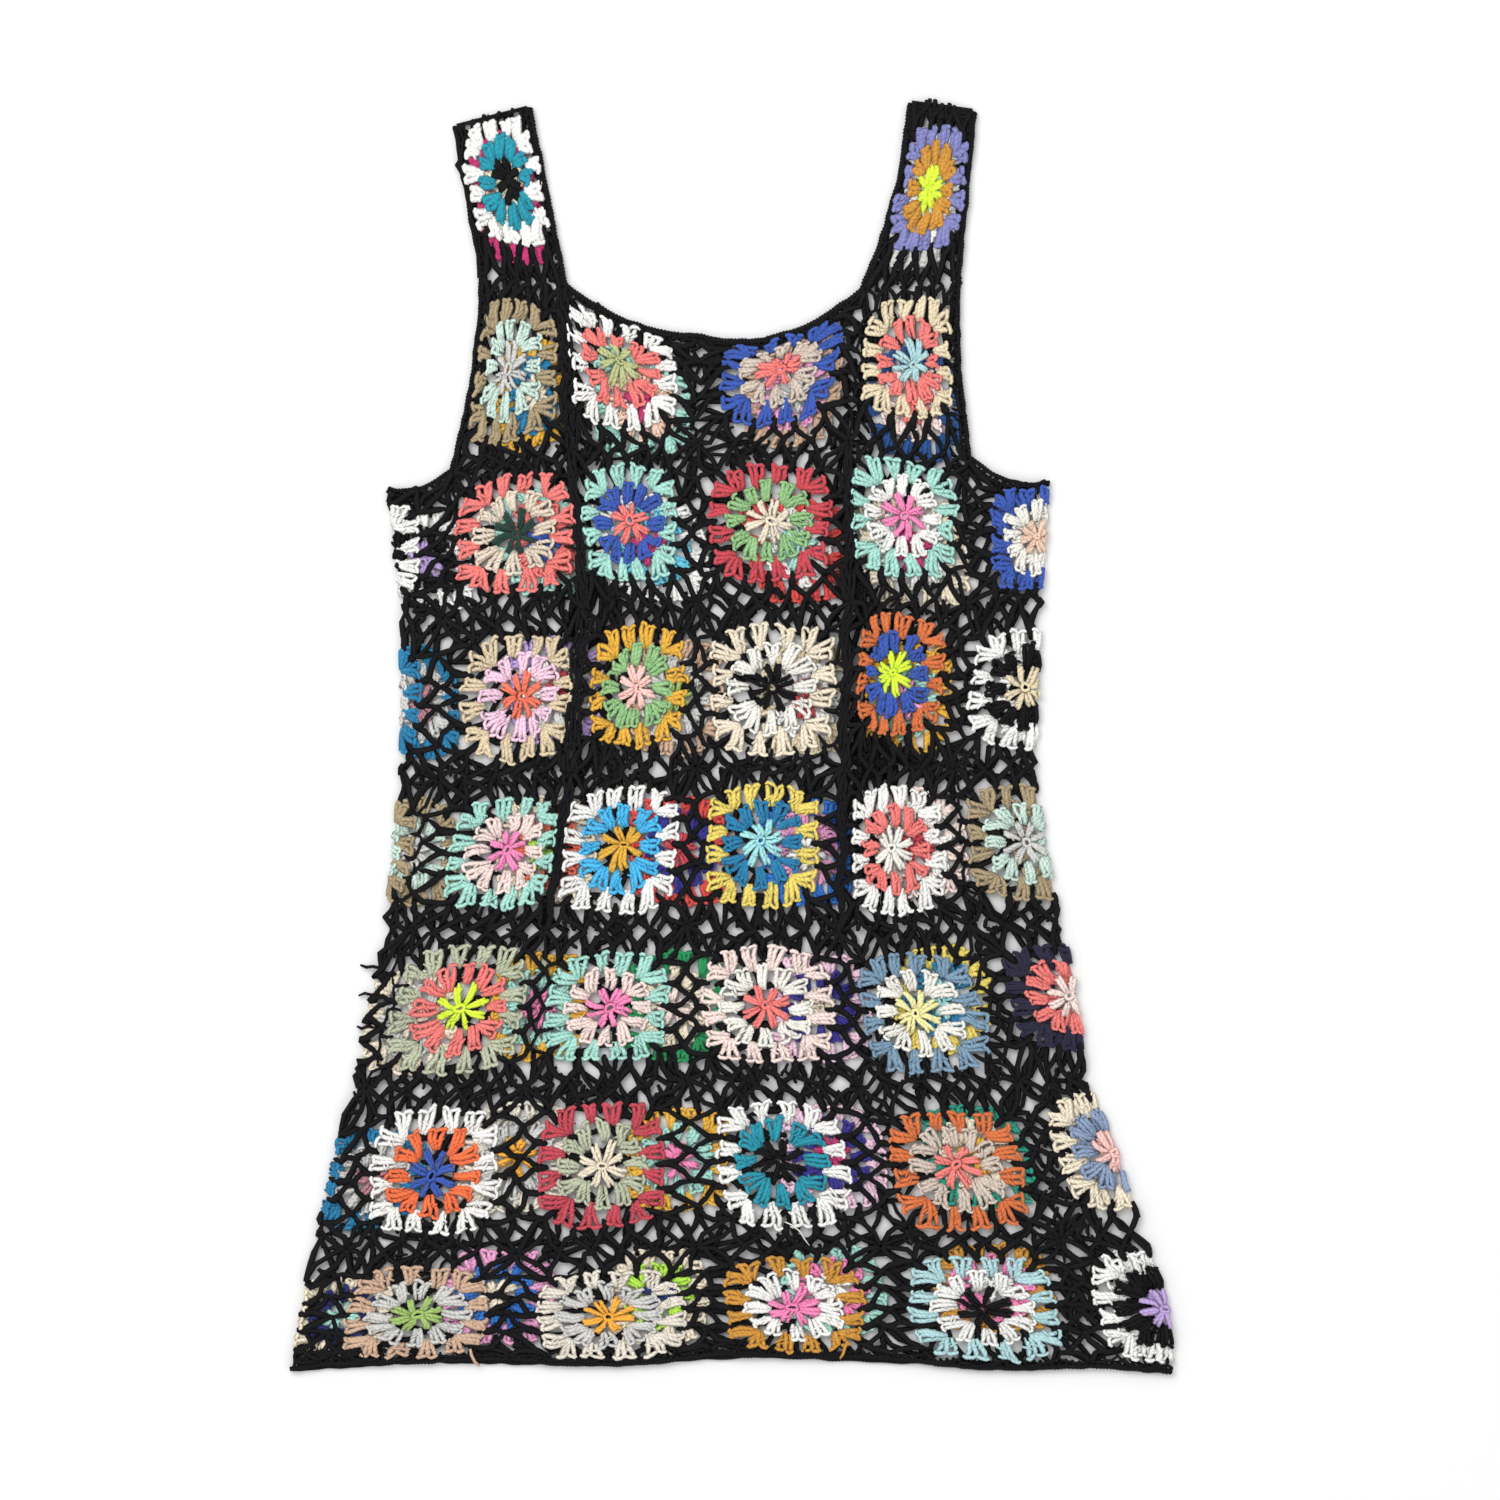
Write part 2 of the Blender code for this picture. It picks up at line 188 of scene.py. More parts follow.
# Each round from its left side square, then the four in front, the right side square, and the four of
# the back from left to right.  A side square's flower may have its middle beyond the fold, on the back.
ROUND_SQUARES = (
    square_row(
        ("white black lilac", -236, 127, 40, 40, 34, 33),
        ("coral beige dark_green", -138, 131, 37, 39, 39, 38),
        ("mint royal_blue coral", -65, 137, 30, 31, 38, 38),
        ("crimson bright_green cream", 23, 139, 38, 41, 40, 36),
        ("mint white pink", 109, 142, 34, 35, 40, 36),
        ("royal_blue ivory peach", 194, 129, 30, 33, 35, 35),
        ("mint coral royal_blue", -118, 126, 34, 34, 35, 35),
        ("white cyan magenta", -51, 122, 35, 35, 35, 35),
        ("coral_red white mint", 42, 121, 33, 31, 35, 35),
        ("cream white magenta", 115, 120, 34, 35, 36, 35)),
    square_row(
        ("teal_blue light_grey dusty_pink", -225, 28, 28, 28, 35, 35),
        ("sand orchid orange_coral", -133, 28, 39, 32, 43, 39),
        ("mustard bright_green salmon", -61, 32, 29, 33, 38, 41),
        ("cream ivory black", 26, 33, 41, 41, 45, 41),
        ("dark_orange royal_blue neon_yellow", 102, 42, 22, 34, 41, 38),
        ("white black straw", 187, 32, 36, 36, 39, 39),
        ("lilac white crimson", -109, 30, 33, 28, 36, 36),
        ("tan light_grey lime", -36, 26, 31, 31, 38, 38),
        ("straw white crimson", 48, 25, 31, 30, 36, 36),
        ("mustard mint rose_pink", 110, 25, 30, 31, 36, 36)),
    square_row(
        ("khaki pale_mint light_grey", -230, -66, 29, 29, 36, 36),
        ("mint pale_pink hot_pink", -141, -71, 40, 29, 39, 34),
        ("white sky_blue mustard", -70, -68, 38, 37, 45, 38),
        ("yellow teal_blue aqua", 19, -66, 36, 38, 43, 38),
        ("white coral ivory", 103, -70, 27, 33, 43, 41),
        ("khaki pale_mint light_grey", 187, -66, 38, 36, 38, 37),
        ("cream orange_coral neon_lime", -118, -71, 32, 32, 36, 36),
        ("coral_red indigo crimson", -33, -71, 32, 32, 36, 36),
        ("bright_blue rose_pink white", 48, -71, 31, 30, 36, 36),
        ("pale_pink white crimson", 117, -66, 26, 33, 36, 36)),
    square_row(
        ("cream light_grey beige", -262, -168, 33, 31, 36, 36),
        ("sage coral neon_yellow", -171, -171, 46, 40, 43, 41),
        ("mint pale_pink pink", -78, -171, 41, 39, 35, 36),
        ("pale_pink ivory coral", 21, -171, 41, 45, 36, 40),
        ("dusty_blue ivory pale_yellow", 117, -173, 35, 45, 41, 38),
        ("dark_navy coral pale_pink", 215, -164, 40, 34, 35, 34),
        ("mustard mint pink", -123, -171, 31, 31, 35, 35),
        ("green cream pale_pink", -37, -170, 32, 32, 36, 36),
        ("orchid indigo cream", 56, -171, 34, 34, 35, 35),
        ("yellow teal_blue aqua", 134, -166, 32, 31, 35, 35)),
    square_row(
        ("teal_blue light_grey dusty_pink", -284, -269, 33, 36, 36, 36),
        ("white orange royal_blue", -190, -278, 41, 43, 38, 45),
        ("rose_red sage cream", -82, -271, 42, 41, 41, 41),
        ("white teal black", 30, -268, 40, 46, 45, 38),
        ("dark_orange taupe soft_coral", 143, -271, 43, 43, 43, 35),
        ("cream grey_blue salmon", 243, -262, 38, 36, 39, 38),
        ("ivory_grey light_grey light_orange", -137, -267, 36, 36, 36, 36),
        ("mustard mint pink", -34, -268, 34, 34, 33, 33),
        ("orchid indigo magenta", 64, -265, 35, 35, 34, 34),
        ("teal_green cream mustard", 157, -265, 35, 35, 34, 34)),
    square_row(
        ("cream navy mint", -300, -366, 32, 30, 30, 30),
        ("tan light_grey lime", -199, -367, 48, 46, 30, 32),
        ("ivory_grey light_grey light_orange", -79, -367, 46, 52, 30, 29),
        ("ochre white pink", 40, -362, 46, 46, 29, 33),
        ("light_blue white black", 160, -362, 48, 49, 34, 34),
        ("white black lilac", 275, -362, 45, 40, 36, 38),
        ("rose_pink bright_blue cream", -149, -353, 36, 36, 32, 28),
        ("cream neon_lime navy", -46, -353, 32, 32, 32, 28),
        ("mint pink white", 64, -350, 34, 34, 30, 28),
        ("ochre pink white", 167, -348, 40, 38, 30, 27)),
)
YOKE_SQUARES = {
    "front": square_row(
        ("khaki pale_mint light_grey", -142, 236, 25, 32, 49, 45),
        ("white coral olive_green", -72, 239, 32, 39, 43, 39),
        ("royal_blue taupe coral", 31, 237, 39, 37, 38, 37),
        ("straw coral light_blue", 115, 239, 33, 25, 36, 43)),
    "back": square_row(
        ("mustard teal_blue cream", -124, 219, 25, 20, 36, 36),
        ("mint peach magenta", -56, 212, 34, 30, 34, 34),
        ("tan rose_pink light_grey", 40, 219, 34, 30, 34, 34),
        ("deep_blue pale_pink coral", 116, 212, 30, 30, 34, 38)),
}
STRAP_SQUARES = {
    ("left", "front"): Square("white", "teal", "black", (-142, 355, 32, 25, 43, 48)),
    ("right", "front"): Square("periwinkle", "ochre", "neon_yellow", (126, 349, 32, 25, 39, 43)),
    ("left", "back"): Square("magenta", "straw", "cream"),
    ("right", "back"): Square("light_grey", "white", "mint"),
}

# ---------------------------------------------------------------- one square's stitches

OUTER, PETALS, CENTRE = range(3)        # which of a flower's yarns a strand is of
NET = 0                                 # the net has one yarn
SIDES = 5                               # faces round a strand
STAR, PETAL_END, FAN_BASE = 0.295, 0.560, 0.500   # where the coloured rounds end and the fans start
REACH = 0.78                            # half width of the coloured rounds over half the square
SQUARE_SIZE = 94.0                      # of a square as made, before it was stretched or bunched
HALF_SQUARE = SQUARE_SIZE / 2

# A fan's three tall stitches: their places over its half width, and along each one its share of the length,
# of the height and of the radius
POST_PLACES = (-0.78, 0.0, 0.78)
POST_STEPS = ((0.0, 0.6, 0.80), (0.34, 0.95, 1.0), (0.70, 1.0, 1.05), (0.97, 0.95, 0.9))
SIDE_POST_DROP = 0.25                   # how much lower the outer stitches lie

# The wrap on a tall stitch: share of its length, side, rise and thickness over its radius
WRAP_STEPS = ((0.36, -1, 0.30, 0.46), (0.48, 0, 0.72, 0.52), (0.60, 1, 0.30, 0.46))
WRAP_PLACE, WRAP_REACH = 0.46, 0.9

# The two loops on top of a fan: place over its half width, share of the length and of the radius
LOOP_STEPS = ((1.10, 0.94, 0.60), (0.84, 1.04, 0.80), (0.36, 1.03, 0.80), (0.04, 0.93, 0.60))
LOOP_HEIGHT, LOOP_RISE, LEVEL_EAR = 0.85, 0.7, 0.5

# Where the petals and the outer fans start and end, and their sizes.  The corner petals are in polar form.
SINGLE_PETAL = ((0.0, STAR - 0.01), (0.0, PETAL_END))
PAIRED_PETAL = ((STAR, 50.0), (PETAL_END + 0.01, 60.5))
MIDDLE_FAN = ((0.145, FAN_BASE), (0.165, REACH))
CORNER_FAN = ((0.430, 0.445), (0.475, 0.735))
SIDE_BASE, CORNER_BASE = 0.036, 0.034   # half widths of a fan's base
PETAL_SIZE = {"top_half": 0.090, "height": 3.0, "radius": 1.65}
OUTER_SIZE = {"top_half": 0.112, "height": 2.8, "radius": 1.75, "ears": 0.05}

SPOKES = 8
CENTRE_RING = (0.056, 2.4, 1.4)         # distance from the middle, height and radius

# The centre's pairs of stitches, and the wraps on them: share of the length, sideways, height and radius
SPOKE_STEPS = ((0.24, 0.012, 2.4, 1.10), (0.50, 0.018, 3.3, 1.5), (0.80, 0.021, 3.2, 1.65),
               (1.02, 0.026, 2.4, 1.30))
SPOKE_WRAP = ((0.56, -0.042, 3.5, 0.7), (0.68, 0.0, 4.8, 0.8), (0.80, 0.042, 3.5, 0.7))

# The net's strands in the upper side of a square: across, up, height and radius
MIDDLE_POST = ((0.0, 0.705, 1.2, 1.2), (0.0, 0.755, 2.0, 2.1), (0.0, 0.815, 2.5, 2.6), (0.0, 0.880, 2.4, 2.5))
SIDE_POST = ((0.305, 0.705, 1.2, 1.2), (0.315, 0.755, 2.0, 2.1), (0.320, 0.815, 2.5, 2.6),
             (0.320, 0.880, 2.4, 2.5))
CORNER_POST = ((0.570, 0.570, 1.2, 1.3), (0.615, 0.615, 2.0, 2.1), (0.655, 0.655, 2.4, 2.4),
               (0.695, 0.695, 2.4, 2.4))
MIDDLE_ARCH = ((0.000, 0.845, 2.0, 1.9), (0.030, 0.890, 2.2, 2.2), (0.095, 0.942, 2.1, 2.0),
               (0.160, 0.998, 2.4, 2.4), (0.225, 0.942, 2.1, 2.0), (0.290, 0.890, 2.2, 2.2),
               (0.320, 0.845, 2.0, 1.9))
CORNER_ARCH = ((0.320, 0.845, 2.0, 1.9), (0.352, 0.892, 2.2, 2.2), (0.435, 0.945, 2.1, 2.0),
               (0.515, 0.998, 2.4, 2.4), (0.595, 0.935, 2.1, 2.0), (0.650, 0.870, 2.2, 2.1),
               (0.685, 0.785, 2.1, 2.0), (0.695, 0.700, 2.2, 1.8))
CORNER_LOOP = ((0.690, 0.690, 2.0, 1.7), (0.705, 0.795, 2.1, 2.0), (0.765, 0.880, 2.1, 2.0),
               (0.865, 0.945, 2.1, 1.9), (0.990, 0.995, 2.4, 2.3))
KNOT = ((-0.030, 0.955, 2.8, 1.4), (0.0, 1.0, 3.8, 2.0), (0.030, 1.045, 2.8, 1.4))
KNOT_PLACES = (-0.515, -0.160, 0.160, 0.515)
KNOTTED_SIDES = (0, 3)                  # the upper and the right side, which join the next squares

Strand = namedtuple("Strand", "yarn points")    # points: across, up, height and radius (mm)


def mix(start, end, share):
    return start + (end - start) * share


def hump(share):
    """0 at both ends and 1 in the middle."""
    return 4.0 * share * (1.0 - share)


def polar(distance, degrees):
    return distance * math.cos(math.radians(degrees)), distance * math.sin(math.radians(degrees))


def on_run(base, top):
    """Gives at(share, sideways, height, radius): points of a stitch that runs from base to top."""
    run_a, run_b = top[0] - base[0], top[1] - base[1]
    length = math.hypot(run_a, run_b)

    def at(share, sideways, height, radius):
        return (base[0] + run_a * share + run_b / length * sideways,
                base[1] + run_b * share - run_a / length * sideways, height, radius)

    return at


def fan(yarn, base, top, base_half, top_half, height, radius, ears=0.0):
    """A cluster of three tall stitches that spread from one base, each with its wrap, and two loops on top.

    ears is how far the ends of the top stand out."""
    at = on_run(base, top)
    reach = radius / HALF_SQUARE * WRAP_REACH
    strands = []
    for place in POST_PLACES:
        drop = 1.0 - SIDE_POST_DROP * place * place
        strands.append(Strand(yarn, [
            at(share + ears * share * place * place, place * mix(base_half, top_half, share),
               height * rise * drop, radius * thick) for share, rise, thick in POST_STEPS]))
        half = place * mix(base_half, top_half, WRAP_PLACE)
        strands.append(Strand(yarn, [
            at(share, half + side * reach, height * drop + radius * rise, radius * thick)
            for share, side, rise, thick in WRAP_STEPS]))
    for side in (-1, 1):
        strands.append(Strand(yarn, [
            at(share + ears * (place * place - LEVEL_EAR), side * place * top_half,
               height * LOOP_HEIGHT + LOOP_RISE, radius * thick) for place, share, thick in LOOP_STEPS]))
    return strands


def turned(strand, quarter):
    cos, sin = ((1, 0), (0, 1), (-1, 0), (0, -1))[quarter]
    return strand._replace(
        points=[(a * cos - b * sin, a * sin + b * cos, h, r) for a, b, h, r in strand.points])


def mirrored(strand):
    return strand._replace(points=[(-a, b, h, r) for a, b, h, r in strand.points])


def swapped(strand):
    """Mirrored over the diagonal of the square."""
    return strand._replace(points=[(b, a, h, r) for a, b, h, r in strand.points])


def all_round(strands, mirror=None):
    """Every strand, with its mirror image if one is asked for, on all four sides of the square."""
    copies = []
    for strand in strands:
        for copy in (strand, mirror(strand)) if mirror else (strand,):
            copies += [turned(copy, quarter) for quarter in range(4)]
    return copies


def centre_stitches():
    """A ring, and eight pairs of short stitches that stand on it with their tops spread."""
    distance, height, radius = CENTRE_RING
    paths = [[(*polar(distance, 360 * step / SPOKES), height, radius) for step in range(SPOKES + 1)]]
    for spoke in range(SPOKES):
        at = on_run((0.0, 0.0), polar(STAR, 360 * (spoke + 0.5) / SPOKES))
        for twin in (-1, 1):
            paths.append([at(share, twin * side, *size) for share, side, *size in SPOKE_STEPS])
        paths.append([at(*step) for step in SPOKE_WRAP])
    return [Strand(CENTRE, points) for points in paths]


def petal_stitches():
    """Four single petals, and at each corner a pair that shares one base."""
    single = fan(PETALS, *SINGLE_PETAL, SIDE_BASE, ears=0.02, **PETAL_SIZE)
    base, tip = PAIRED_PETAL
    paired = fan(PETALS, polar(*base), polar(*tip), CORNER_BASE, **PETAL_SIZE)
    return all_round(single) + all_round(paired, swapped)


def cluster_stitches():
    """Sixteen fans: two in the middle of each side and a spread pair at each corner."""
    middle = fan(OUTER, *MIDDLE_FAN, SIDE_BASE, **OUTER_SIZE)
    corner = fan(OUTER, *CORNER_FAN, CORNER_BASE, **OUTER_SIZE)
    return all_round(middle, mirrored) + all_round(corner, swapped)


def net_stitches():
    """The last round: thick posts in the gaps of the clusters, pointed arches, corner loops and knots."""
    one_side = [Strand(NET, MIDDLE_POST), Strand(NET, CORNER_POST)]
    for points in (SIDE_POST, MIDDLE_ARCH, CORNER_ARCH):
        one_side += [Strand(NET, points), mirrored(Strand(NET, points))]
    one_side += [Strand(NET, CORNER_LOOP), swapped(Strand(NET, CORNER_LOOP))]
    strands = [turned(strand, quarter) for quarter in range(4) for strand in one_side]
    for quarter in KNOTTED_SIDES:
        for place in KNOT_PLACES:
            strands.append(turned(Strand(NET, [(place + a, b, h, r) for a, b, h, r in KNOT]), quarter))
    return strands


def in_batches(strands):
    """Strands of like length stacked in arrays: pairs of their points and their yarns."""
    batches = {}
    for strand in strands:
        batches.setdefault(len(strand.points), []).append(strand)
    return [(np.array([s.points for s in batch], float), np.array([s.yarn for s in batch]))
            for batch in batches.values()]


FLOWER_STITCHES = in_batches(centre_stitches() + petal_stitches() + cluster_stitches())
NET_STITCHES = in_batches(net_stitches())

# ---------------------------------------------------------------- where a square lies on the dress

WHOLE_LEFT = (-1.0, -1.0)
WHOLE_RIGHT = (1.0, 1.0)
NO_RIDGES = (0, 0, 0)

# A square's corners, its place round the tube and its height, then what bends, cuts and lifts it
Cell = namedtuple("Cell", "tl tr bl br place z sag_top sag_bottom bow_left bow_right cut_left cut_right "
                          "ridges_bottom ridges_top",
                  defaults=(0, 0, 0, 0, WHOLE_LEFT, WHOLE_RIGHT, NO_RIDGES, NO_RIDGES))


def line_height(line, x):
    """Height of a seam line at x."""
    for column in range(len(line.x) - 1):
        if x <= line.x[column + 1] or column == len(line.x) - 2:
            share = (x - line.x[column]) / (line.x[column + 1] - line.x[column])
            return mix(line.y[column], line.y[column + 1], share) - line.sag[column] * hump(share)


def back_seams(line):
    """X of the back's seams from left to right, spread evenly round the tube between the folds."""
    last_front = SQUARES_IN_ROUND // 2
    squares = last_front + line.left - line.right
    width = (line.x[-1] - line.x[0]) / squares
    seams = [line.x[-1] - (step - line.right) * width for step in range(1, last_front + 1)]
    return [line.x[0]] + seams[::-1] + [line.x[-1]]


def line_points(line, side):
    """Corner points of a side's squares along a seam line."""
    if side == "front":
        return list(zip(line.x, line.y))
    seams = line.x if line is SEAM_LINES[0] else back_seams(line)
    drop = BACK_DROP[SEAM_LINES.index(line)]
    return [(x, line_height(line, x) - (drop if line.x[0] < x < line.x[-1] else 0)) for x in seams]


def round_cells(index, side):
    """The six squares, the outer two cut by the side folds, of one side of a round."""
    upper, lower = SEAM_LINES[index], SEAM_LINES[index + 1]
    tops, bottoms = line_points(upper, side), line_points(lower, side)
    front = side == "front"
    last = SQUARES_ACROSS - 1
    cells = []
    for column in range(SQUARES_ACROSS):
        bends = {"bow_right": FOLD_BULGE[index] if column == last else 0}
        if front or index == 0:
            bends["sag_top"] = upper.sag[column]
        if front:
            bends.update(sag_bottom=lower.sag[column], ridges_bottom=lower.ridges, ridges_top=upper.ridges)
        if column == 0:
            shown = [1.0 - line.left if front else line.left for line in (lower, upper)]
            bends["cut_left"] = tuple(1.0 - 2.0 * share for share in shown)
        if column == last:
            shown = [line.right if front else 1.0 - line.right for line in (lower, upper)]
            bends["cut_right"] = tuple(2.0 * share - 1.0 for share in shown)
        corners = tops[column:column + 2] + bottoms[column:column + 2]
        cells.append(Cell(*corners, column, LAYER_Z[side], **bends))
    return cells


def yoke_cells(side):
    """The four squares of the yoke row on one side."""
    xs, ys, sags = YOKE_TOP
    tops = list(zip(xs, ys))
    bottoms = line_points(SEAM_LINES[0], side)[1:SQUARES_ACROSS]
    last = len(sags) - 1
    cells = []
    for column, sag in enumerate(sags):
        corners = tops[column:column + 2] + bottoms[column:column + 2]
        cells.append(Cell(
            *corners, column + 1, LAYER_Z[side], sag_top=sag,
            bow_left=YOKE_BOW[0] if column == 0 else 0, bow_right=YOKE_BOW[1] if column == last else 0,
            ridges_bottom=SEAM_LINES[0].ridges if side == "front" else NO_RIDGES))
    return cells


def strap_cell(strap, side):
    """The strap square over the end square of the yoke."""
    yoke = yoke_cells(side)[STRAP_COLUMN[strap]]
    bow_left, bow_right = STRAP_BOW[strap]
    return Cell(*SHOULDERS[strap], yoke.tl, yoke.tr, 1, yoke.z, bow_left=bow_left, bow_right=bow_right)


def layer_of(cell):
    """0 for the front and 1 for the back."""
    return 0 if cell.z > BACK_Z else 1


def half_width(cell):
    """Half the width of a square that a side fold cuts, from the share that shows."""
    shown = (mix(*cell.cut_right, 0.5) - mix(*cell.cut_left, 0.5)) / 2.0
    width = (cell.tr[0] - cell.tl[0] + cell.br[0] - cell.bl[0]) / 2.0
    return width / shown / 2.0


def cloth_place(cell, across, up):
    """X, y and the height of the cloth's lower face, from arrays of square coordinates."""
    rise = (up + 1.0) / 2.0
    left, right = mix(*cell.cut_left, rise), mix(*cell.cut_right, rise)
    share = (across - left) / (right - left)
    x = mix(mix(cell.bl[0], cell.br[0], share), mix(cell.tl[0], cell.tr[0], share), rise)
    x = x + mix(cell.bow_left, cell.bow_right, share) * hump(rise)
    bottom = mix(cell.bl[1], cell.br[1], share) - cell.sag_bottom * hump(share)
    top = mix(cell.tl[1], cell.tr[1], share) - cell.sag_top * hump(share)
    turn = cell.place + (across + 1.0) / 2.0
    lift = sum(mix(low, high, rise) * np.exp(-((turn - place) / RIDGE_SPREAD) ** 2)
               for low, high, place in zip(cell.ridges_bottom, cell.ridges_top, RIDGE_PLACES))
    return x, mix(bottom, top, rise), cell.z + lift


def square_place(cell, x, y, step=0.01, rounds=8):
    """Square coordinates of a place on the dress, by Newton's steps."""
    across = up = 0.0
    for _ in range(rounds):
        here = np.array(cloth_place(cell, across, up)[:2])
        by_across = (np.array(cloth_place(cell, across + step, up)[:2]) - here) / step
        by_up = (np.array(cloth_place(cell, across, up + step)[:2]) - here) / step
        change = np.linalg.solve(np.column_stack((by_across, by_up)), np.array((x, y)) - here)
        across, up = across + change[0], up + change[1]
    return across, up


FLOWER_MARGIN = 0.99    # a flower ends this near its square's edge at most
FAN_TIP = 0.835         # where the fans' loops end
PLAIN_STOPS = (-1.0, -FAN_TIP, 0.0, FAN_TIP, 1.0)
THINNEST_NET = 0.5      # share of its radius that the net keeps where a flower leaves it no room


def flower_stops(cell, flower):
    """Where a square's flower starts, has its middle and ends, across and up, in square coordinates."""
    if flower is None:
        return PLAIN_STOPS, PLAIN_STOPS
    x, y, left, right, down, up = flower
    middle = square_place(cell, x, y)
    ends = [square_place(cell, x - left, y)[0], square_place(cell, x + right, y)[0],
            square_place(cell, x, y - down)[1], square_place(cell, x, y + up)[1]]
    low_a, high_a, low_b, high_b = (max(-FLOWER_MARGIN, min(FLOWER_MARGIN, end)) for end in ends)
    return (-1.0, low_a, middle[0], high_a, 1.0), (-1.0, low_b, middle[1], high_b, 1.0)


def fitted(across, up, stops):
    """Moves the flower's stitches to where it lies; the square's seams stay."""
    inside, moved = [], []
    for values, own_stops in zip((across, up), stops):
        inside.append(np.clip((1.0 - np.abs(values)) / (1.0 - FAN_TIP), 0.0, 1.0))
        past_seam = np.sign(values) * np.maximum(np.abs(values) - 1, 0)
        moved.append(np.interp(values, PLAIN_STOPS, own_stops) + past_seam)
    return mix(across, moved[0], inside[1]), mix(up, moved[1], inside[0])


def net_room(across, up, stops):
    """How thick the net's yarn looks where a flower leaves it less room than usual."""
    usual = 1.0 - FAN_TIP
    (left, right), (low, high) = [((1.0 + s[1]) / usual, (1.0 - s[3]) / usual) for s in stops]
    beside = np.where(across < 0, left, right)
    over = np.where(up < 0, low, high)
    return np.clip(np.where(np.abs(across) > np.abs(up), beside, over), THINNEST_NET, 1.0)


# The slack of hand work: waves of (length, size) that shift the strands sideways
SLACK_WAVES = ((34.0, 0.9), (23.0, 0.7), (14.0, 0.55), (9.0, 0.4))
NET_WAVES = ((43.0, 0.8), (19.0, 1.1))  # more of it in the net, away from the flowers
FIRST_TURN, WAVE_TURN, LAYER_TURN = 0.7, 1.9, 0.8   # radians: of the first, wave to wave, layer to layer
CROSS_TURN, CROSS_SHARE = 1.3, 0.7      # each wave is two that cross, with this share of its size
LAYER_PHASE = 3.1                       # radians from one layer to the next
UP_STRETCH, UP_PHASE = 1.07, 2.0        # what tells the shift up from the shift across
STRAND_SLACK = 0.36                     # how far single strands stray
RADIUS_SPREAD = (0.88, 1.12)
NET_HOLD = 0.12                         # how far past the fans the net's own slack is whole
FLOOR_GAP = 0.05                        # at least, under every strand


def slack(x, y, layer, waves=SLACK_WAVES):
    """How far the yarn strays at a place, the same for all strands there."""
    shift_x = shift_y = 0.0
    for index, (length, size) in enumerate(waves):
        turn = FIRST_TURN + WAVE_TURN * index + LAYER_TURN * layer
        for angle in (turn, turn + CROSS_TURN):
            phase = TAU / length * (x * math.cos(angle) + y * math.sin(angle)) + LAYER_PHASE * layer
            shift_x = shift_x + size * np.sin(phase + index) * CROSS_SHARE
            shift_y = shift_y + size * np.sin(phase * UP_STRETCH + UP_PHASE + index) * CROSS_SHARE
    return shift_x, shift_y


# ---------------------------------------------------------------- strands into meshes

TINY, UPRIGHT = 1e-6, 1e-3      # guards against a division by nothing, and for strands that run straight up
TWIST_SHIFT = 7.3       # between the yarn maps of two strands, so that their plies don't line up
BAKE_RIM = 0.06         # free rim of a face's cell in the bake map
BAKE_CAP = 0.42         # reach of a strand's end in its cell


def placed(name, data):
    """A new object in the scene."""
    made = bpy.data.objects.new(name, data)
    bpy.context.scene.collection.objects.link(made)
    return made


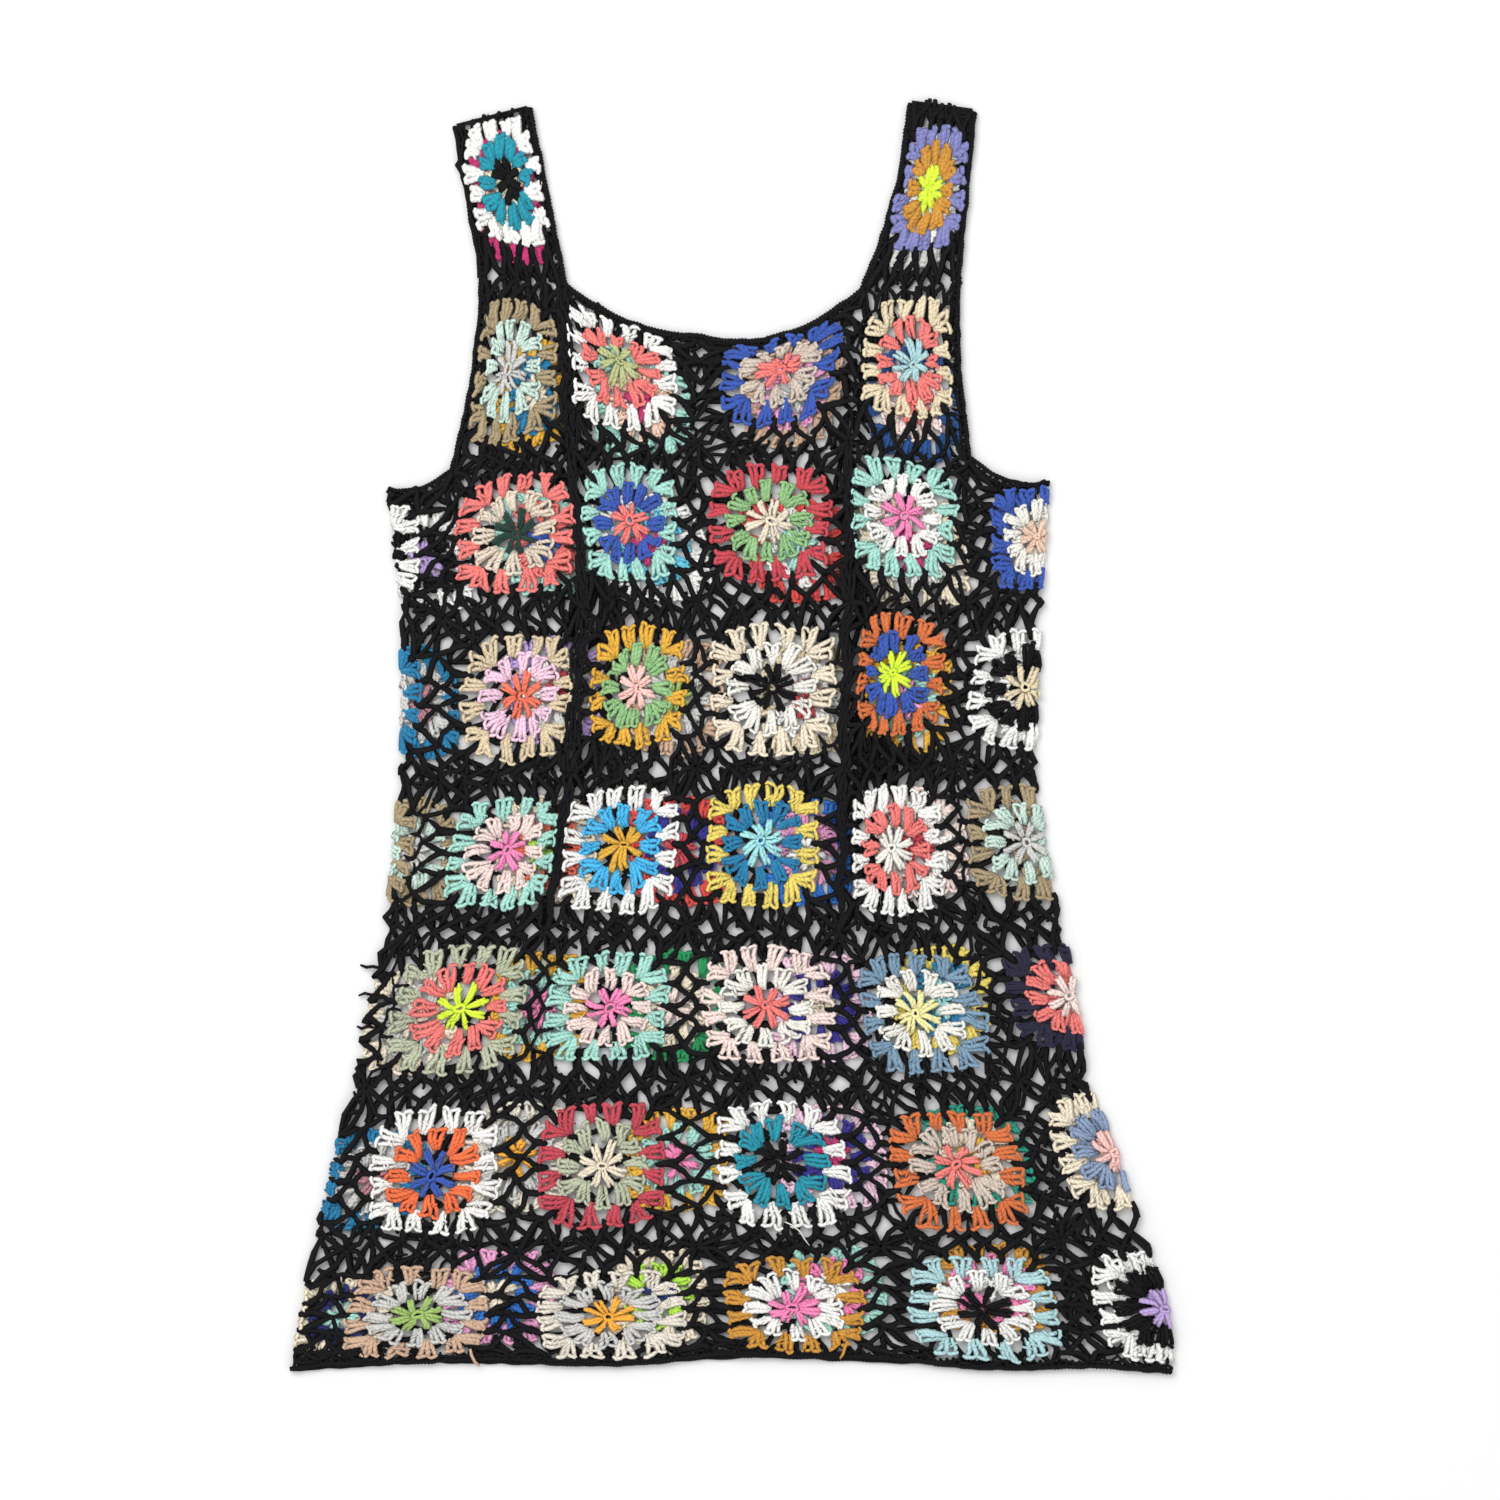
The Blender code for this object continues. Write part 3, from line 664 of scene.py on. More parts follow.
class YarnPiece:
    """Collects strands as tubes and makes one object of them."""

    def __init__(self):
        self.points, self.quads, self.caps, self.along = [], [], [], []
        self.quad_yarns, self.cap_yarns, self.yarns = [], [], []
        self.count = 0

    def yarn_slot(self, name):
        if name not in self.yarns:
            self.yarns.append(name)
        return self.yarns.index(name)

    def add(self, places, radii, slots):
        """Tubes along places (strands, points, 3) in millimetres; radii and slots may be one for all."""
        strands, steps, _ = places.shape
        radii, slots = np.broadcast_to(radii, (strands, steps)), np.broadcast_to(slots, strands)
        run = np.gradient(places, axis=1)
        run /= np.maximum(np.linalg.norm(run, axis=2, keepdims=True), TINY)
        side = np.stack((run[..., 1], -run[..., 0], np.zeros_like(run[..., 0])), axis=2)
        size = np.linalg.norm(side, axis=2, keepdims=True)
        side = np.where(size > UPRIGHT, side / np.maximum(size, TINY), (1.0, 0.0, 0.0))
        above = np.cross(side, run)
        turns = TAU * np.arange(SIDES) / SIDES
        ring = side[:, :, None] * np.cos(turns)[:, None] + above[:, :, None] * np.sin(turns)[:, None]
        points = places[:, :, None] + ring * radii[:, :, None, None]
        index = self.count + np.arange(strands * steps * SIDES).reshape(strands, steps, SIDES)
        following = np.roll(index, -1, axis=2)
        quads = np.stack((index[:, :-1], following[:, :-1], following[:, 1:], index[:, 1:]), axis=3)
        length = np.cumsum(np.linalg.norm(np.diff(places, axis=1), axis=2), axis=1)
        length = np.pad(length, ((0, 0), (1, 0))) + np.arange(strands)[:, None] * TWIST_SHIFT
        along = np.stack((length[:, :-1], length[:, 1:]), axis=2)
        self.points.append(points.reshape(-1, 3))
        self.quads.append(quads.reshape(-1, 4))
        self.along.append(np.repeat(along.reshape(-1, 2), SIDES, axis=0))
        self.quad_yarns.append(np.repeat(slots, (steps - 1) * SIDES))
        self.caps += [index[:, 0, ::-1], index[:, -1]]
        self.cap_yarns += [slots, slots]
        self.count += strands * steps * SIDES

    def add_black(self, places, radii):
        self.add(np.array(places), radii, self.yarn_slot("black"))

    def make(self, name):
        mesh = bpy.data.meshes.new(name)
        quads, caps, along = [np.concatenate(parts) for parts in (self.quads, self.caps, self.along)]
        mesh.from_pydata(np.concatenate(self.points) * MM, [], quads.tolist() + caps.tolist())
        mesh.polygons.foreach_set("material_index", np.concatenate(self.quad_yarns + self.cap_yarns))
        mesh.polygons.foreach_set("use_smooth", np.ones(len(mesh.polygons), bool))
        turn = np.stack((np.arange(SIDES), np.arange(1, SIDES + 1)), axis=1) / SIDES
        turn = np.tile(turn, (len(quads) // SIDES, 1))
        twist = np.stack((along[:, (0, 0, 1, 1)], turn[:, (0, 1, 1, 0)]), axis=2)
        self.write_map(mesh, "yarn", np.concatenate((twist.reshape(-1, 2), np.zeros((caps.size, 2)))))
        self.write_map(mesh, "OFBake", self.bake_places(len(quads), len(caps)))
        for yarn in self.yarns:
            mesh.materials.append(yarn_material(yarn))
        return placed(name, mesh)

    @staticmethod
    def bake_places(quads, caps):
        """Every face in its own cell of one grid, in the order of the strands."""
        rows = math.ceil(math.sqrt(quads + caps))
        order = np.arange(quads + caps)
        cells = np.stack((order % rows, order // rows), axis=1)[:, None]
        low, high = BAKE_RIM, 1 - BAKE_RIM
        square = np.array(((low, low), (high, low), (high, high), (low, high)))
        turns = TAU * np.arange(SIDES) / SIDES
        circle = BAKE_CAP * np.stack((np.cos(turns), np.sin(turns)), axis=1)
        places = (cells[:quads] + square).reshape(-1, 2), (cells[quads:] + 0.5 + circle).reshape(-1, 2)
        return np.concatenate(places) / rows

    @staticmethod
    def write_map(mesh, name, values):
        mesh.uv_layers.new(name=name).uv.foreach_set("vector", values.astype(np.float32).ravel())


FOLD_TURN = 2.2         # half the length over which the cloth turns round a side fold
FOLD_HOLD = 12.0        # how near a fold the slack is held back, to this share of it at the fold
FOLD_SLACK = 0.15
NET_SEED, BAND_SEED = 5000, 9000    # added to a square's seed


def add_square(strip, square, seed, cell, back_cell=None, flower_scale=1.0):
    """Adds the strands of one square.  A side square turns round its fold onto back_cell."""
    flowers, net = strip
    net_scale = bpy.context.scene.dress_sizes.net_scale
    add_stitches(flowers, FLOWER_STITCHES, square[:3], square, seed, cell, back_cell, flower_scale)
    add_stitches(net, NET_STITCHES, ("black",), square, seed + NET_SEED, cell, back_cell, net_scale)
    add_band_loops(net, square, seed + BAND_SEED, cell, net_scale)


def add_stitches(piece, stitches, yarns_used, square, seed, cell, back_cell, scale):
    chance = np.random.default_rng(seed)
    slots = np.array([piece.yarn_slot(yarn) for yarn in yarns_used])
    stops = flower_stops(cell, square.flower)
    layer = layer_of(cell)
    for values, yarns in stitches:
        across, up = fitted(values[..., 0], values[..., 1], stops)
        x, y, z = cloth_place(cell, across, up)
        shift_x, shift_y = slack(x, y, layer)
        if stitches is NET_STITCHES:
            loose_x, loose_y = slack(x, y, layer + 2, NET_WAVES)
            free = np.clip((np.max(np.abs(values[..., :2]), axis=2) - FAN_TIP) / NET_HOLD, 0.0, 1.0)
            shift_x, shift_y = shift_x + loose_x * free, shift_y + loose_y * free
        if back_cell is not None:
            on_left = cell.cut_left != WHOLE_LEFT
            fold = mix(*(cell.cut_left if on_left else cell.cut_right), (up + 1.0) / 2.0)
            beyond = (fold - across if on_left else across - fold) * half_width(cell)
            back_x, back_y, back_z = cloth_place(back_cell, -across, up)
            back_shift_x, back_shift_y = slack(back_x, back_y, 1)
            x, y = np.where(beyond > 0, back_x, x), np.where(beyond > 0, back_y, y)
            share = np.clip(beyond / FOLD_TURN / 2 + 0.5, 0.0, 1.0)
            share = share * share * (3.0 - 2.0 * share)
            z, shift_y = mix(z, back_z, share), mix(shift_y, back_shift_y, share)
            shift_x = mix(shift_x, back_shift_x, share) * np.clip(np.abs(beyond) / FOLD_HOLD, FOLD_SLACK, 1.0)
        stray = chance.normal(0.0, STRAND_SLACK, (len(values), 1, 3))
        places = np.stack((x + shift_x, y + shift_y, z + values[..., 2]), axis=2) + stray
        radii = values[..., 3] * chance.uniform(*RADIUS_SPREAD, (len(values), 1)) * scale
        if stitches is NET_STITCHES:
            radii *= net_room(values[..., 0], values[..., 1], stops)
        places[..., 2] = np.maximum(places[..., 2], radii + FLOOR_GAP)
        piece.add(places, radii, slots[yarns])


# ---------------------------------------------------------------- slack loops, pleats and loose ends

SHORT_STRAND = np.linspace(-1.0, 1.0, 4)    # points along a short strand, then how it bows and tapers
ARCHED = 1.0 - SHORT_STRAND * SHORT_STRAND
TAPER = np.array((0.75, 1.0, 1.0, 0.75))
SHORT_RADIUS = (1.1, 1.7)

# Where the net lies bunched in pleats, in front: the square and how full the pleat along its right side is
# at its top, middle and bottom, for the yoke and the rounds below it
PLEATS = {
    1: ((0.8, 0.9, 0.8), (0.6, 0.4, 0.8), (1.0, 1.0, 1.0), (0.7, 0.5, 0.2)),
    3: (None, (0.4, 0.5, 0.6), (0.6, 0.5, 0.6), (0.6, 0.4, 0.2)),
}
PLEAT_STRANDS = (-3.9, -1.3, 1.3, 3.9)      # places across the seam
PLEAT_LOOPS = 9                             # strands down one square, one after the other
PLEAT_RUN = 2.4                             # length of a strand over the way from one to the next
PLEAT_LEAN, PLEAT_HEIGHT, PLEAT_RISE = 1.3, 1.8, 0.9        # the rise is that of a strand's middle
PLEAT_RADIUS, PLEAT_SPREAD = 1.45, (0.8, 1.15)


def add_pleat(piece, cell, seed, fullness):
    """Bunched net along the right side of a square: short strands that lean and cross down the seam."""
    chance = np.random.default_rng(seed)
    paths = []
    for loop in range(PLEAT_LOOPS):
        start = 1.0 - 2.0 * loop / PLEAT_LOOPS
        for strand, offset in enumerate(PLEAT_STRANDS):
            up = start - (strand % 2) / PLEAT_LOOPS - np.linspace(0.0, PLEAT_RUN / PLEAT_LOOPS, len(TAPER))
            full = np.interp(up, (-1.0, 0.0, 1.0), fullness[::-1])
            x, y, z = cloth_place(cell, np.ones(len(up)), np.maximum(up, -1.0))
            shift_x, shift_y = slack(x, y, 0)
            lean = chance.normal(0.0, PLEAT_LEAN) * SHORT_STRAND
            rise = PLEAT_HEIGHT + chance.uniform(0.0, 1.0) + PLEAT_RISE * ARCHED
            paths.append(np.stack((x + shift_x + (offset + lean) * full, y + shift_y, z + rise), axis=1))
    piece.add_black(paths, PLEAT_RADIUS * chance.uniform(*PLEAT_SPREAD, (len(paths), 1)) * TAPER)


BAND_LOOPS = 8              # small extra loops of a square's net, above and below its flower
BAND_START = 0.84           # where the bands above and below a flower start
BAND_MARGIN = 0.12          # between the loops and the square's sides
BAND_LEAN = 1.2             # radians from upright at most
BAND_RUN, BAND_BOW = (3.0, 4.5), 0.018
BAND_HEIGHT, BAND_RISE = 2.2, (-0.4, 0.8)


def add_band_loops(piece, square, seed, cell, scale):
    """Slack loops of the net above and below a flower, where it lies bunched between two rows."""
    chance = np.random.default_rng(seed)
    low, high = np.interp((-BAND_START, BAND_START), PLAIN_STOPS, flower_stops(cell, square.flower)[1])
    left, right = max(cell.cut_left) + BAND_MARGIN, min(cell.cut_right) - BAND_MARGIN
    paths = []
    for loop in range(BAND_LOOPS):
        across = chance.uniform(left, right)
        up = chance.uniform(high, 1.0) if loop % 2 else chance.uniform(-1.0, low)
        lean, run = chance.uniform(-BAND_LEAN, BAND_LEAN), chance.uniform(*BAND_RUN) / HALF_SQUARE
        bow = chance.normal(0.0, BAND_BOW) * ARCHED
        ups = np.clip(up + run * math.cos(lean) * SHORT_STRAND + bow * math.sin(lean), -1.0, 1.0)
        x, y, z = cloth_place(cell, across + run * math.sin(lean) * SHORT_STRAND + bow * math.cos(lean), ups)
        shift_x, shift_y = slack(x, y, layer_of(cell))
        z = z + BAND_HEIGHT + chance.uniform(*BAND_RISE, len(TAPER))
        paths.append(np.stack((x + shift_x, y + shift_y, z), axis=1))
    piece.add_black(paths, chance.uniform(*SHORT_RADIUS, (len(paths), 1)) * TAPER * scale)


# Where the net in front lies crowded: x, y, half width, half height, strands and how far they lean (radians)
CROWDED = (
    (-79, 91, 11, 14, 38, 0.30), (-78, -13, 12, 10, 30, 0.40), (86, 90, 9, 14, 32, 0.35),
    (95, -13, 12, 12, 36, 0.35), (128, -15, 20, 6, 18, 0.9), (-108, 90, 18, 6, 12, 0.9),
    (-118, -20, 22, 6, 14, 0.9), (78, -52, 6, 40, 26, 0.4), (-92, 190, 7, 12, 14, 0.3),
    (72, 190, 8, 10, 14, 0.4), (204, -262, 11, 42, 36, 0.5), (222, -312, 28, 8, 24, 0.9),
    (218, -352, 11, 26, 26, 0.6), (-192, -312, 40, 7, 20, 1.0), (-185, -214, 36, 7, 14, 1.0),
    (-252, -386, 20, 8, 40, 1.4), (-16, 241, 12, 10, 22, 1.2),
)
CROWDED_SEED = 800          # of the first patch
CROWDED_SPREAD = 0.5        # of the strands across a patch, over its half width
CROWDED_RUN = (3.5, 6.0)
CROWDED_HEIGHT, CROWDED_LAYERS, CROWDED_RISE = 0.9, 1.3, 0.5    # over the cloth, between strands, and arched
CROWDED_TAPER = np.array((0.7, 1.0, 1.0, 0.7))


def add_crowded(piece, low, high):
    """Patches of bunched net whose middles lie between two heights up the dress: short strands that cross."""
    for index, (x, y, half_x, half_y, strands, lean) in enumerate(CROWDED):
        if not low < y <= high:
            continue
        chance = np.random.default_rng(CROWDED_SEED + index)
        middle_x = x + np.clip(chance.normal(0.0, CROWDED_SPREAD, strands), -1, 1) * half_x
        middle_y = y + chance.uniform(-1.0, 1.0, strands) * half_y
        turn = chance.normal(0.0, lean, strands)
        run = chance.uniform(*CROWDED_RUN, strands)
        xs = middle_x[:, None] + (run * np.sin(turn))[:, None] * SHORT_STRAND
        ys = middle_y[:, None] + (run * np.cos(turn))[:, None] * SHORT_STRAND
        layers = chance.uniform(0.0, CROWDED_LAYERS, (strands, 1))
        zs = FRONT_Z + CROWDED_HEIGHT + layers + CROWDED_RISE * ARCHED
        shift_x, shift_y = slack(xs, ys, 0)
        piece.add_black(np.stack((xs + shift_x, ys + shift_y, zs), axis=2),
                        chance.uniform(*SHORT_RADIUS, (strands, 1)) * CROWDED_TAPER)


# Ends of yarn that hang out: round, yarn, radius and points (x, y, height over the floor)
LOOSE_ENDS = (
    (3, "black", 1.2, ((-223, -146, 3.6), (-228, -145, 4.0), (-232, -145.5, 3.2), (-236, -144, 2.4))),
    (3, "black", 1.1, ((-224, -162, 3.6), (-229, -163, 4.0), (-233, -162, 3.0), (-237, -163.5, 2.2))),
    (3, "black", 1.2, ((-226, -184, 3.6), (-231, -183, 4.0), (-235, -184.5, 3.0), (-238, -183, 2.2))),
    (4, "ivory", 0.5, ((34, -307, 7.4), (38.5, -309, 8.8), (43.5, -313, 9.0), (46.5, -318, 8.8),
                       (49.5, -322, 7.2))),
    (4, "dark_orange", 1.0, ((120, -311, 6.4), (125, -310, 7.4), (130, -311, 7.2), (134, -310, 6.0))),
    (5, "tan", 1.1, ((-166, -388, 6.0), (-165, -392, 7.2), (-163, -396, 6.4), (-160, -398.5, 4.0))),
    (5, "ochre", 1.1, ((74, -383, 6.0), (72, -387, 7.2), (71, -391, 6.6), (69, -394, 4.2))),
)
LOOSE_TIP = 0.6         # thickness of the last point


def add_loose_ends(strip, at_round):
    for index, yarn, radius, points in LOOSE_ENDS:
        if index == at_round:
            piece = strip[yarn == "black"]
            radii = np.full((1, len(points)), radius)
            radii[0, -1] *= LOOSE_TIP
            piece.add(np.array([points], float), radii, piece.yarn_slot(yarn))


# ---------------------------------------------------------------- edgings

EDGE_POINTS = 21            # along one side of a square
SAME_PLACE = 0.05           # points nearer than this are one
STITCH_LENGTH = 4.2         # of an edging, which four points share
STITCH_POINTS = 4
EDGING_SLACK = 0.35         # share of the cloth's slack
CHAIN_RADIUS, CHAIN_TIP = 1.15, 0.7         # the tip is a share of the radius
CHAIN_SWING = 0.55          # how far in from the edge the chain turns back, over its radius
CHAIN_HEIGHT, CHAIN_RISE = 0.75, 0.45       # the height is a share of the wall
STITCH_IN, STITCH_OUT, STITCH_LEAN = -0.9, 0.8, 1.1         # the second is a share of the band's width
STITCH_ENDS, STITCH_MIDDLE, STITCH_RADIUS = 1.3, 2.4, 1.05      # heights of a short stitch
EDGINGS = {"neck_edging": NECK_WIDTH, "armhole_edging_left": ARMHOLE_WIDTH,
           "armhole_edging_right": ARMHOLE_WIDTH, "hem_edging": HEM_WIDTH}

STRAP_YARN = 1.4            # how much fuller the bunched strands of a strap's flower look

# Strands of the fold on a shoulder, as (height up the dress, height over the floor, radius)
SHOULDER_SEAM = {"left": ((0.9, 0.0, 1.3),), "right": ((0.6, 0.2, 1.9), (-1.6, 1.6, 1.6), (-4.2, 1.9, 1.5))}
SHOULDER_WAVE = (0.35, 1.9)     # how far such a strand goes up and down, and radians from point to point


def side_points(cell, side):
    """Points along one side of a square, on the seam line itself; left and right sides run down."""
    steps = np.linspace(1.0, -1.0, EDGE_POINTS)
    if side in ("left", "right"):
        cut = cell.cut_left if side == "left" else cell.cut_right
        across, up = mix(*cut, (steps + 1) / 2), steps
    else:
        up = np.full_like(steps, 1.0 if side == "top" else -1.0)
        rise = 1 if side == "top" else 0
        across = np.linspace(cell.cut_left[rise], cell.cut_right[rise], len(steps))
    return np.stack(np.broadcast_arrays(*cloth_place(cell, across, up)), axis=1)


def edging_path(name, side):
    """The free edge that an edging follows on one side of the dress, which is on the right of the path."""
    yoke, first_round = yoke_cells(side), round_cells(0, side)
    left_strap, right_strap = strap_cell("left", side), strap_cell("right", side)
    parts = {
        "neck_edging": [side_points(left_strap, "right"), side_points(yoke[1], "top"),
                        side_points(yoke[2], "top"), side_points(right_strap, "left")[::-1]],
        "armhole_edging_left": [side_points(first_round[0], "top"), side_points(yoke[0], "left")[::-1],
                                side_points(left_strap, "left")[::-1]],
        "armhole_edging_right": [side_points(right_strap, "right"), side_points(yoke[-1], "right"),
                                 side_points(first_round[-1], "top")],
        "hem_edging": [side_points(cell, "bottom")[::-1] for cell in round_cells(ROUNDS - 1, side)[::-1]],
    }
    return np.concatenate(parts[name])


def resampled(points, spacing):
    """The path with even steps of about this length."""
    gaps = np.linalg.norm(np.diff(points, axis=0), axis=1)
    points = points[np.concatenate(((True,), gaps > SAME_PLACE))]
    length = np.concatenate(((0.0,), np.cumsum(np.linalg.norm(np.diff(points, axis=0), axis=1))))
    places = np.linspace(0.0, length[-1], max(2, round(length[-1] / spacing) + 1))
    return np.stack([np.interp(places, length, points[:, axis]) for axis in range(3)], axis=1), places


def add_edging(piece, path, width, layer):
    """A crocheted band along the left of a path: a chain of loops on top of a row of short stitches."""
    points, places = resampled(path, STITCH_LENGTH / STITCH_POINTS)
    level = np.zeros(len(points))
    run = np.gradient(points, axis=0)
    run[:, 2] = 0
    run /= np.linalg.norm(run, axis=1, keepdims=True)
    left = np.stack((-run[:, 1], run[:, 0], level), axis=1)
    points = points + np.stack((*slack(points[:, 0], points[:, 1], layer), level), axis=1) * EDGING_SLACK
    radii = np.full((1, len(points)), CHAIN_RADIUS)
    radii[0, (0, -1)] *= CHAIN_TIP
    for phase in (0.0, math.pi):
        swing = TAU * places / STITCH_LENGTH + phase
        offset = SEAM_GAP + width / 2 + (width / 2 - CHAIN_RADIUS * CHAIN_SWING) * np.sin(swing)
        strand = points + left * offset[:, None]
        strand[:, 2] += NET_WALL * CHAIN_HEIGHT + CHAIN_RISE * np.cos(swing)
        piece.add_black(strand[None], radii)
    points, left, run = points[::STITCH_POINTS], left[::STITCH_POINTS], run[::STITCH_POINTS]
    inner = points + left * STITCH_IN
    outer = points + left * (width * STITCH_OUT) + run * STITCH_LEAN
    stitches = np.stack((inner, (inner + outer) / 2, outer), axis=1)
    stitches[..., 2] += (STITCH_ENDS, STITCH_MIDDLE, STITCH_ENDS)
    piece.add_black(stitches, STITCH_RADIUS)


def add_shoulder_seam(piece, cell, strands):
    """The fold on the shoulder, where the front strap's last loops meet the back's."""
    path = side_points(cell, "top")
    size, step = SHOULDER_WAVE
    for out, height, radius in strands:
        points = path + np.array((0.0, out, height))
        points[:, 2] += size * np.sin(np.arange(len(points)) * step)
        piece.add_black(points[None], radius)


# ---------------------------------------------------------------- materials

NOISE_DETAIL = 2.0
FUZZ_SCALE, FUZZ_ROUGHNESS, DYE_SCALE = 1400.0, 0.6, 60.0       # of the noise, to a metre
FUZZ_IN_TWIST, DYE_RANGE = 0.35, 0.35
GROOVE_SHADE_SHAPE, FLANK_SHADE_SHAPE = 0.6, 2.0                          # powers of the painted shade in the ply grooves and on the strands' flanks
# value of the yarn colour before the painted shade of grooves and flanks is taken off, and its saturation
BRIGHTNESS, SATURATION = 1.15, 0.96
ROUGHNESS, FUZZ_IN_ROUGHNESS = 0.72, 0.3
# painted shade: how much darker the grooves between plies and the strands' flanks are made
GROOVE_SHADE, FLANK_SHADE = 0.32, 0.52
BUMP_STRENGTH, BUMP_DEPTH = 0.45, 0.0004
SHEEN_ROUGHNESS = 0.6
BLACK_FINISH, YARN_FINISH = (0.5, 0.12, 0.0), (0.22, 0.25, 0.10)    # fuzz, shine and sheen


def screen_to_light(colour):
    """Linear colour from screen values of 0 to 255."""
    shares = [value / 255 for value in colour]
    return tuple(s / 12.92 if s <= 0.04045 else ((s + 0.055) / 1.055) ** 2.4 for s in shares)


def node(tree, kind, links=(), **settings):
    """Adds a node, sets its properties and default inputs, and links its inputs."""
    made = tree.nodes.new(kind)
    for name, value in settings.items():
        setattr(made, name, value)
    for socket, value in links:
        if isinstance(value, bpy.types.NodeSocket):
            tree.links.new(value, made.inputs[socket])
        else:
            made.inputs[socket].default_value = value
    return made


def dial(made, values):
    """Sets default inputs of a node."""
    for name, value in values.items():
        made.inputs[name].default_value = value


def yarn_twist_group():
    """The plies of twisted yarn: bumped grooves between them, painted shade in those grooves and on the
    strand's flanks, a little fuzz and uneven dye.
    """
    name = "yarn_twist"
    if name in bpy.data.node_groups:
        return bpy.data.node_groups[name]
    group = bpy.data.node_groups.new(name, "ShaderNodeTree")
    colour = group.interface.new_socket("Yarn", in_out="INPUT", socket_type="NodeSocketColor")
    colour.default_value = (0.5, 0.5, 0.5, 1.0)
    # the inputs for grooves and flanks set how much painted shade darkens the ply grooves and the strand's
    # flanks
    for title, value, low, high in (
            ("Plies", 3.0, 1.0, 8.0), ("Twist length", 2.2, 0.2, 20.0), ("Groove shade", 0.4, 0.0, 1.0),
            ("Flank shade", 0.4, 0.0, 1.0), ("Fuzz", 0.3, 0.0, 1.0)):
        socket = group.interface.new_socket(title, in_out="INPUT", socket_type="NodeSocketFloat")
        socket.default_value, socket.min_value, socket.max_value = value, low, high
    for title, kind in (("Colour", "NodeSocketColor"), ("Roughness", "NodeSocketFloat"),
                        ("Height", "NodeSocketFloat")):
        group.interface.new_socket(title, in_out="OUTPUT", socket_type=kind)

    def maths(operation, *values):
        return node(group, "ShaderNodeMath", enumerate(values), operation=operation).outputs[0]

    def times(*values):
        return maths("MULTIPLY", *values)

    given = node(group, "NodeGroupInput").outputs
    strand = node(group, "ShaderNodeUVMap", uv_map="yarn").outputs["UV"]
    strand = node(group, "ShaderNodeSeparateXYZ", ((0, strand),)).outputs
    place = node(group, "ShaderNodeTexCoord").outputs["Object"]
    fuzz = node(group, "ShaderNodeTexNoise",
                (("Vector", place), ("Scale", FUZZ_SCALE), ("Detail", NOISE_DETAIL),
                 ("Roughness", FUZZ_ROUGHNESS))).outputs["Fac"]
    dye = node(group, "ShaderNodeTexNoise",
               (("Vector", place), ("Scale", DYE_SCALE), ("Detail", NOISE_DETAIL))).outputs["Fac"]
    run = maths("DIVIDE", strand["X"], given["Twist length"])
    plies = maths("ADD", times(strand["Y"], given["Plies"]), run)
    phase = maths("ADD", plies, times(fuzz, FUZZ_IN_TWIST))
    ridge = maths("ABSOLUTE", maths("SINE", times(phase, math.pi)))
    # painted shade: the grooves between the plies are darker, as if in shade
    groove_shade = times(maths("SUBTRACT", 1.0, maths("POWER", ridge, GROOVE_SHADE_SHAPE)), given["Groove shade"])
    # painted shade: the strand's flanks, at the sides of the tube, are darker than its top and underside, as
    # shade between strands
    flank = maths("ABSOLUTE", maths("COSINE", times(strand["Y"], TAU)))
    flank_shade = times(maths("POWER", flank, FLANK_SHADE_SHAPE), given["Flank shade"])
    fleck = times(maths("SUBTRACT", fuzz, 0.5), given["Fuzz"])
    tone = times(maths("SUBTRACT", dye, 0.5), DYE_RANGE)
    lit = maths("SUBTRACT", BRIGHTNESS, maths("ADD", groove_shade, flank_shade))
    value = maths("ADD", lit, maths("ADD", fleck, tone))
    colour = node(group, "ShaderNodeHueSaturation",
                  (("Color", given["Yarn"]), ("Value", value), ("Saturation", SATURATION))).outputs["Color"]
    rough = maths("ADD", ROUGHNESS, times(fuzz, FUZZ_IN_ROUGHNESS))
    height = maths("ADD", ridge, times(fuzz, given["Fuzz"]))
    node(group, "NodeGroupOutput", (("Colour", colour), ("Roughness", rough), ("Height", height)))
    return group


def yarn_material(yarn):
    """One yarn's cotton: its own dye over the shared twist."""
    name = f"{yarn}_yarn"
    if name in bpy.data.materials:
        return bpy.data.materials[name]
    fuzz, shine, sheen = BLACK_FINISH if yarn == "black" else YARN_FINISH
    material = bpy.data.materials.new(name)
    material.use_nodes = True
    tree = material.node_tree
    shader = tree.nodes["Principled BSDF"]
    twist = node(tree, "ShaderNodeGroup", node_tree=yarn_twist_group())
    # the values for grooves and flanks darken the yarn's colour as painted shade
    dial(twist, {"Yarn": (*getattr(bpy.context.scene.dress_yarns, yarn), 1.0),
                 "Twist length": bpy.context.scene.dress_sizes.twist_length / MM,
                 "Groove shade": GROOVE_SHADE, "Flank shade": FLANK_SHADE, "Fuzz": fuzz})
    bump = node(tree, "ShaderNodeBump", (("Strength", BUMP_STRENGTH), ("Distance", BUMP_DEPTH),
                                         ("Height", twist.outputs["Height"])))
    tree.links.new(twist.outputs["Colour"], shader.inputs["Base Color"])
    tree.links.new(twist.outputs["Roughness"], shader.inputs["Roughness"])
    tree.links.new(bump.outputs["Normal"], shader.inputs["Normal"])
    dial(shader, {"Specular IOR Level": shine, "Sheen Weight": sheen, "Sheen Roughness": SHEEN_ROUGHNESS})
    return material


# ---------------------------------------------------------------- pieces

def finish_piece(piece, nodes):
    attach(piece, BODY)
    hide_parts(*nodes)


def finish_strip(strip, name, nodes):
    """The coloured squares of a strip and the net that joins them stand for its nodes together."""
    flowers, net = strip
    finish_piece(flowers.make(f"{name}_squares"), nodes)
    finish_piece(net.make(f"{name}_net"), nodes)


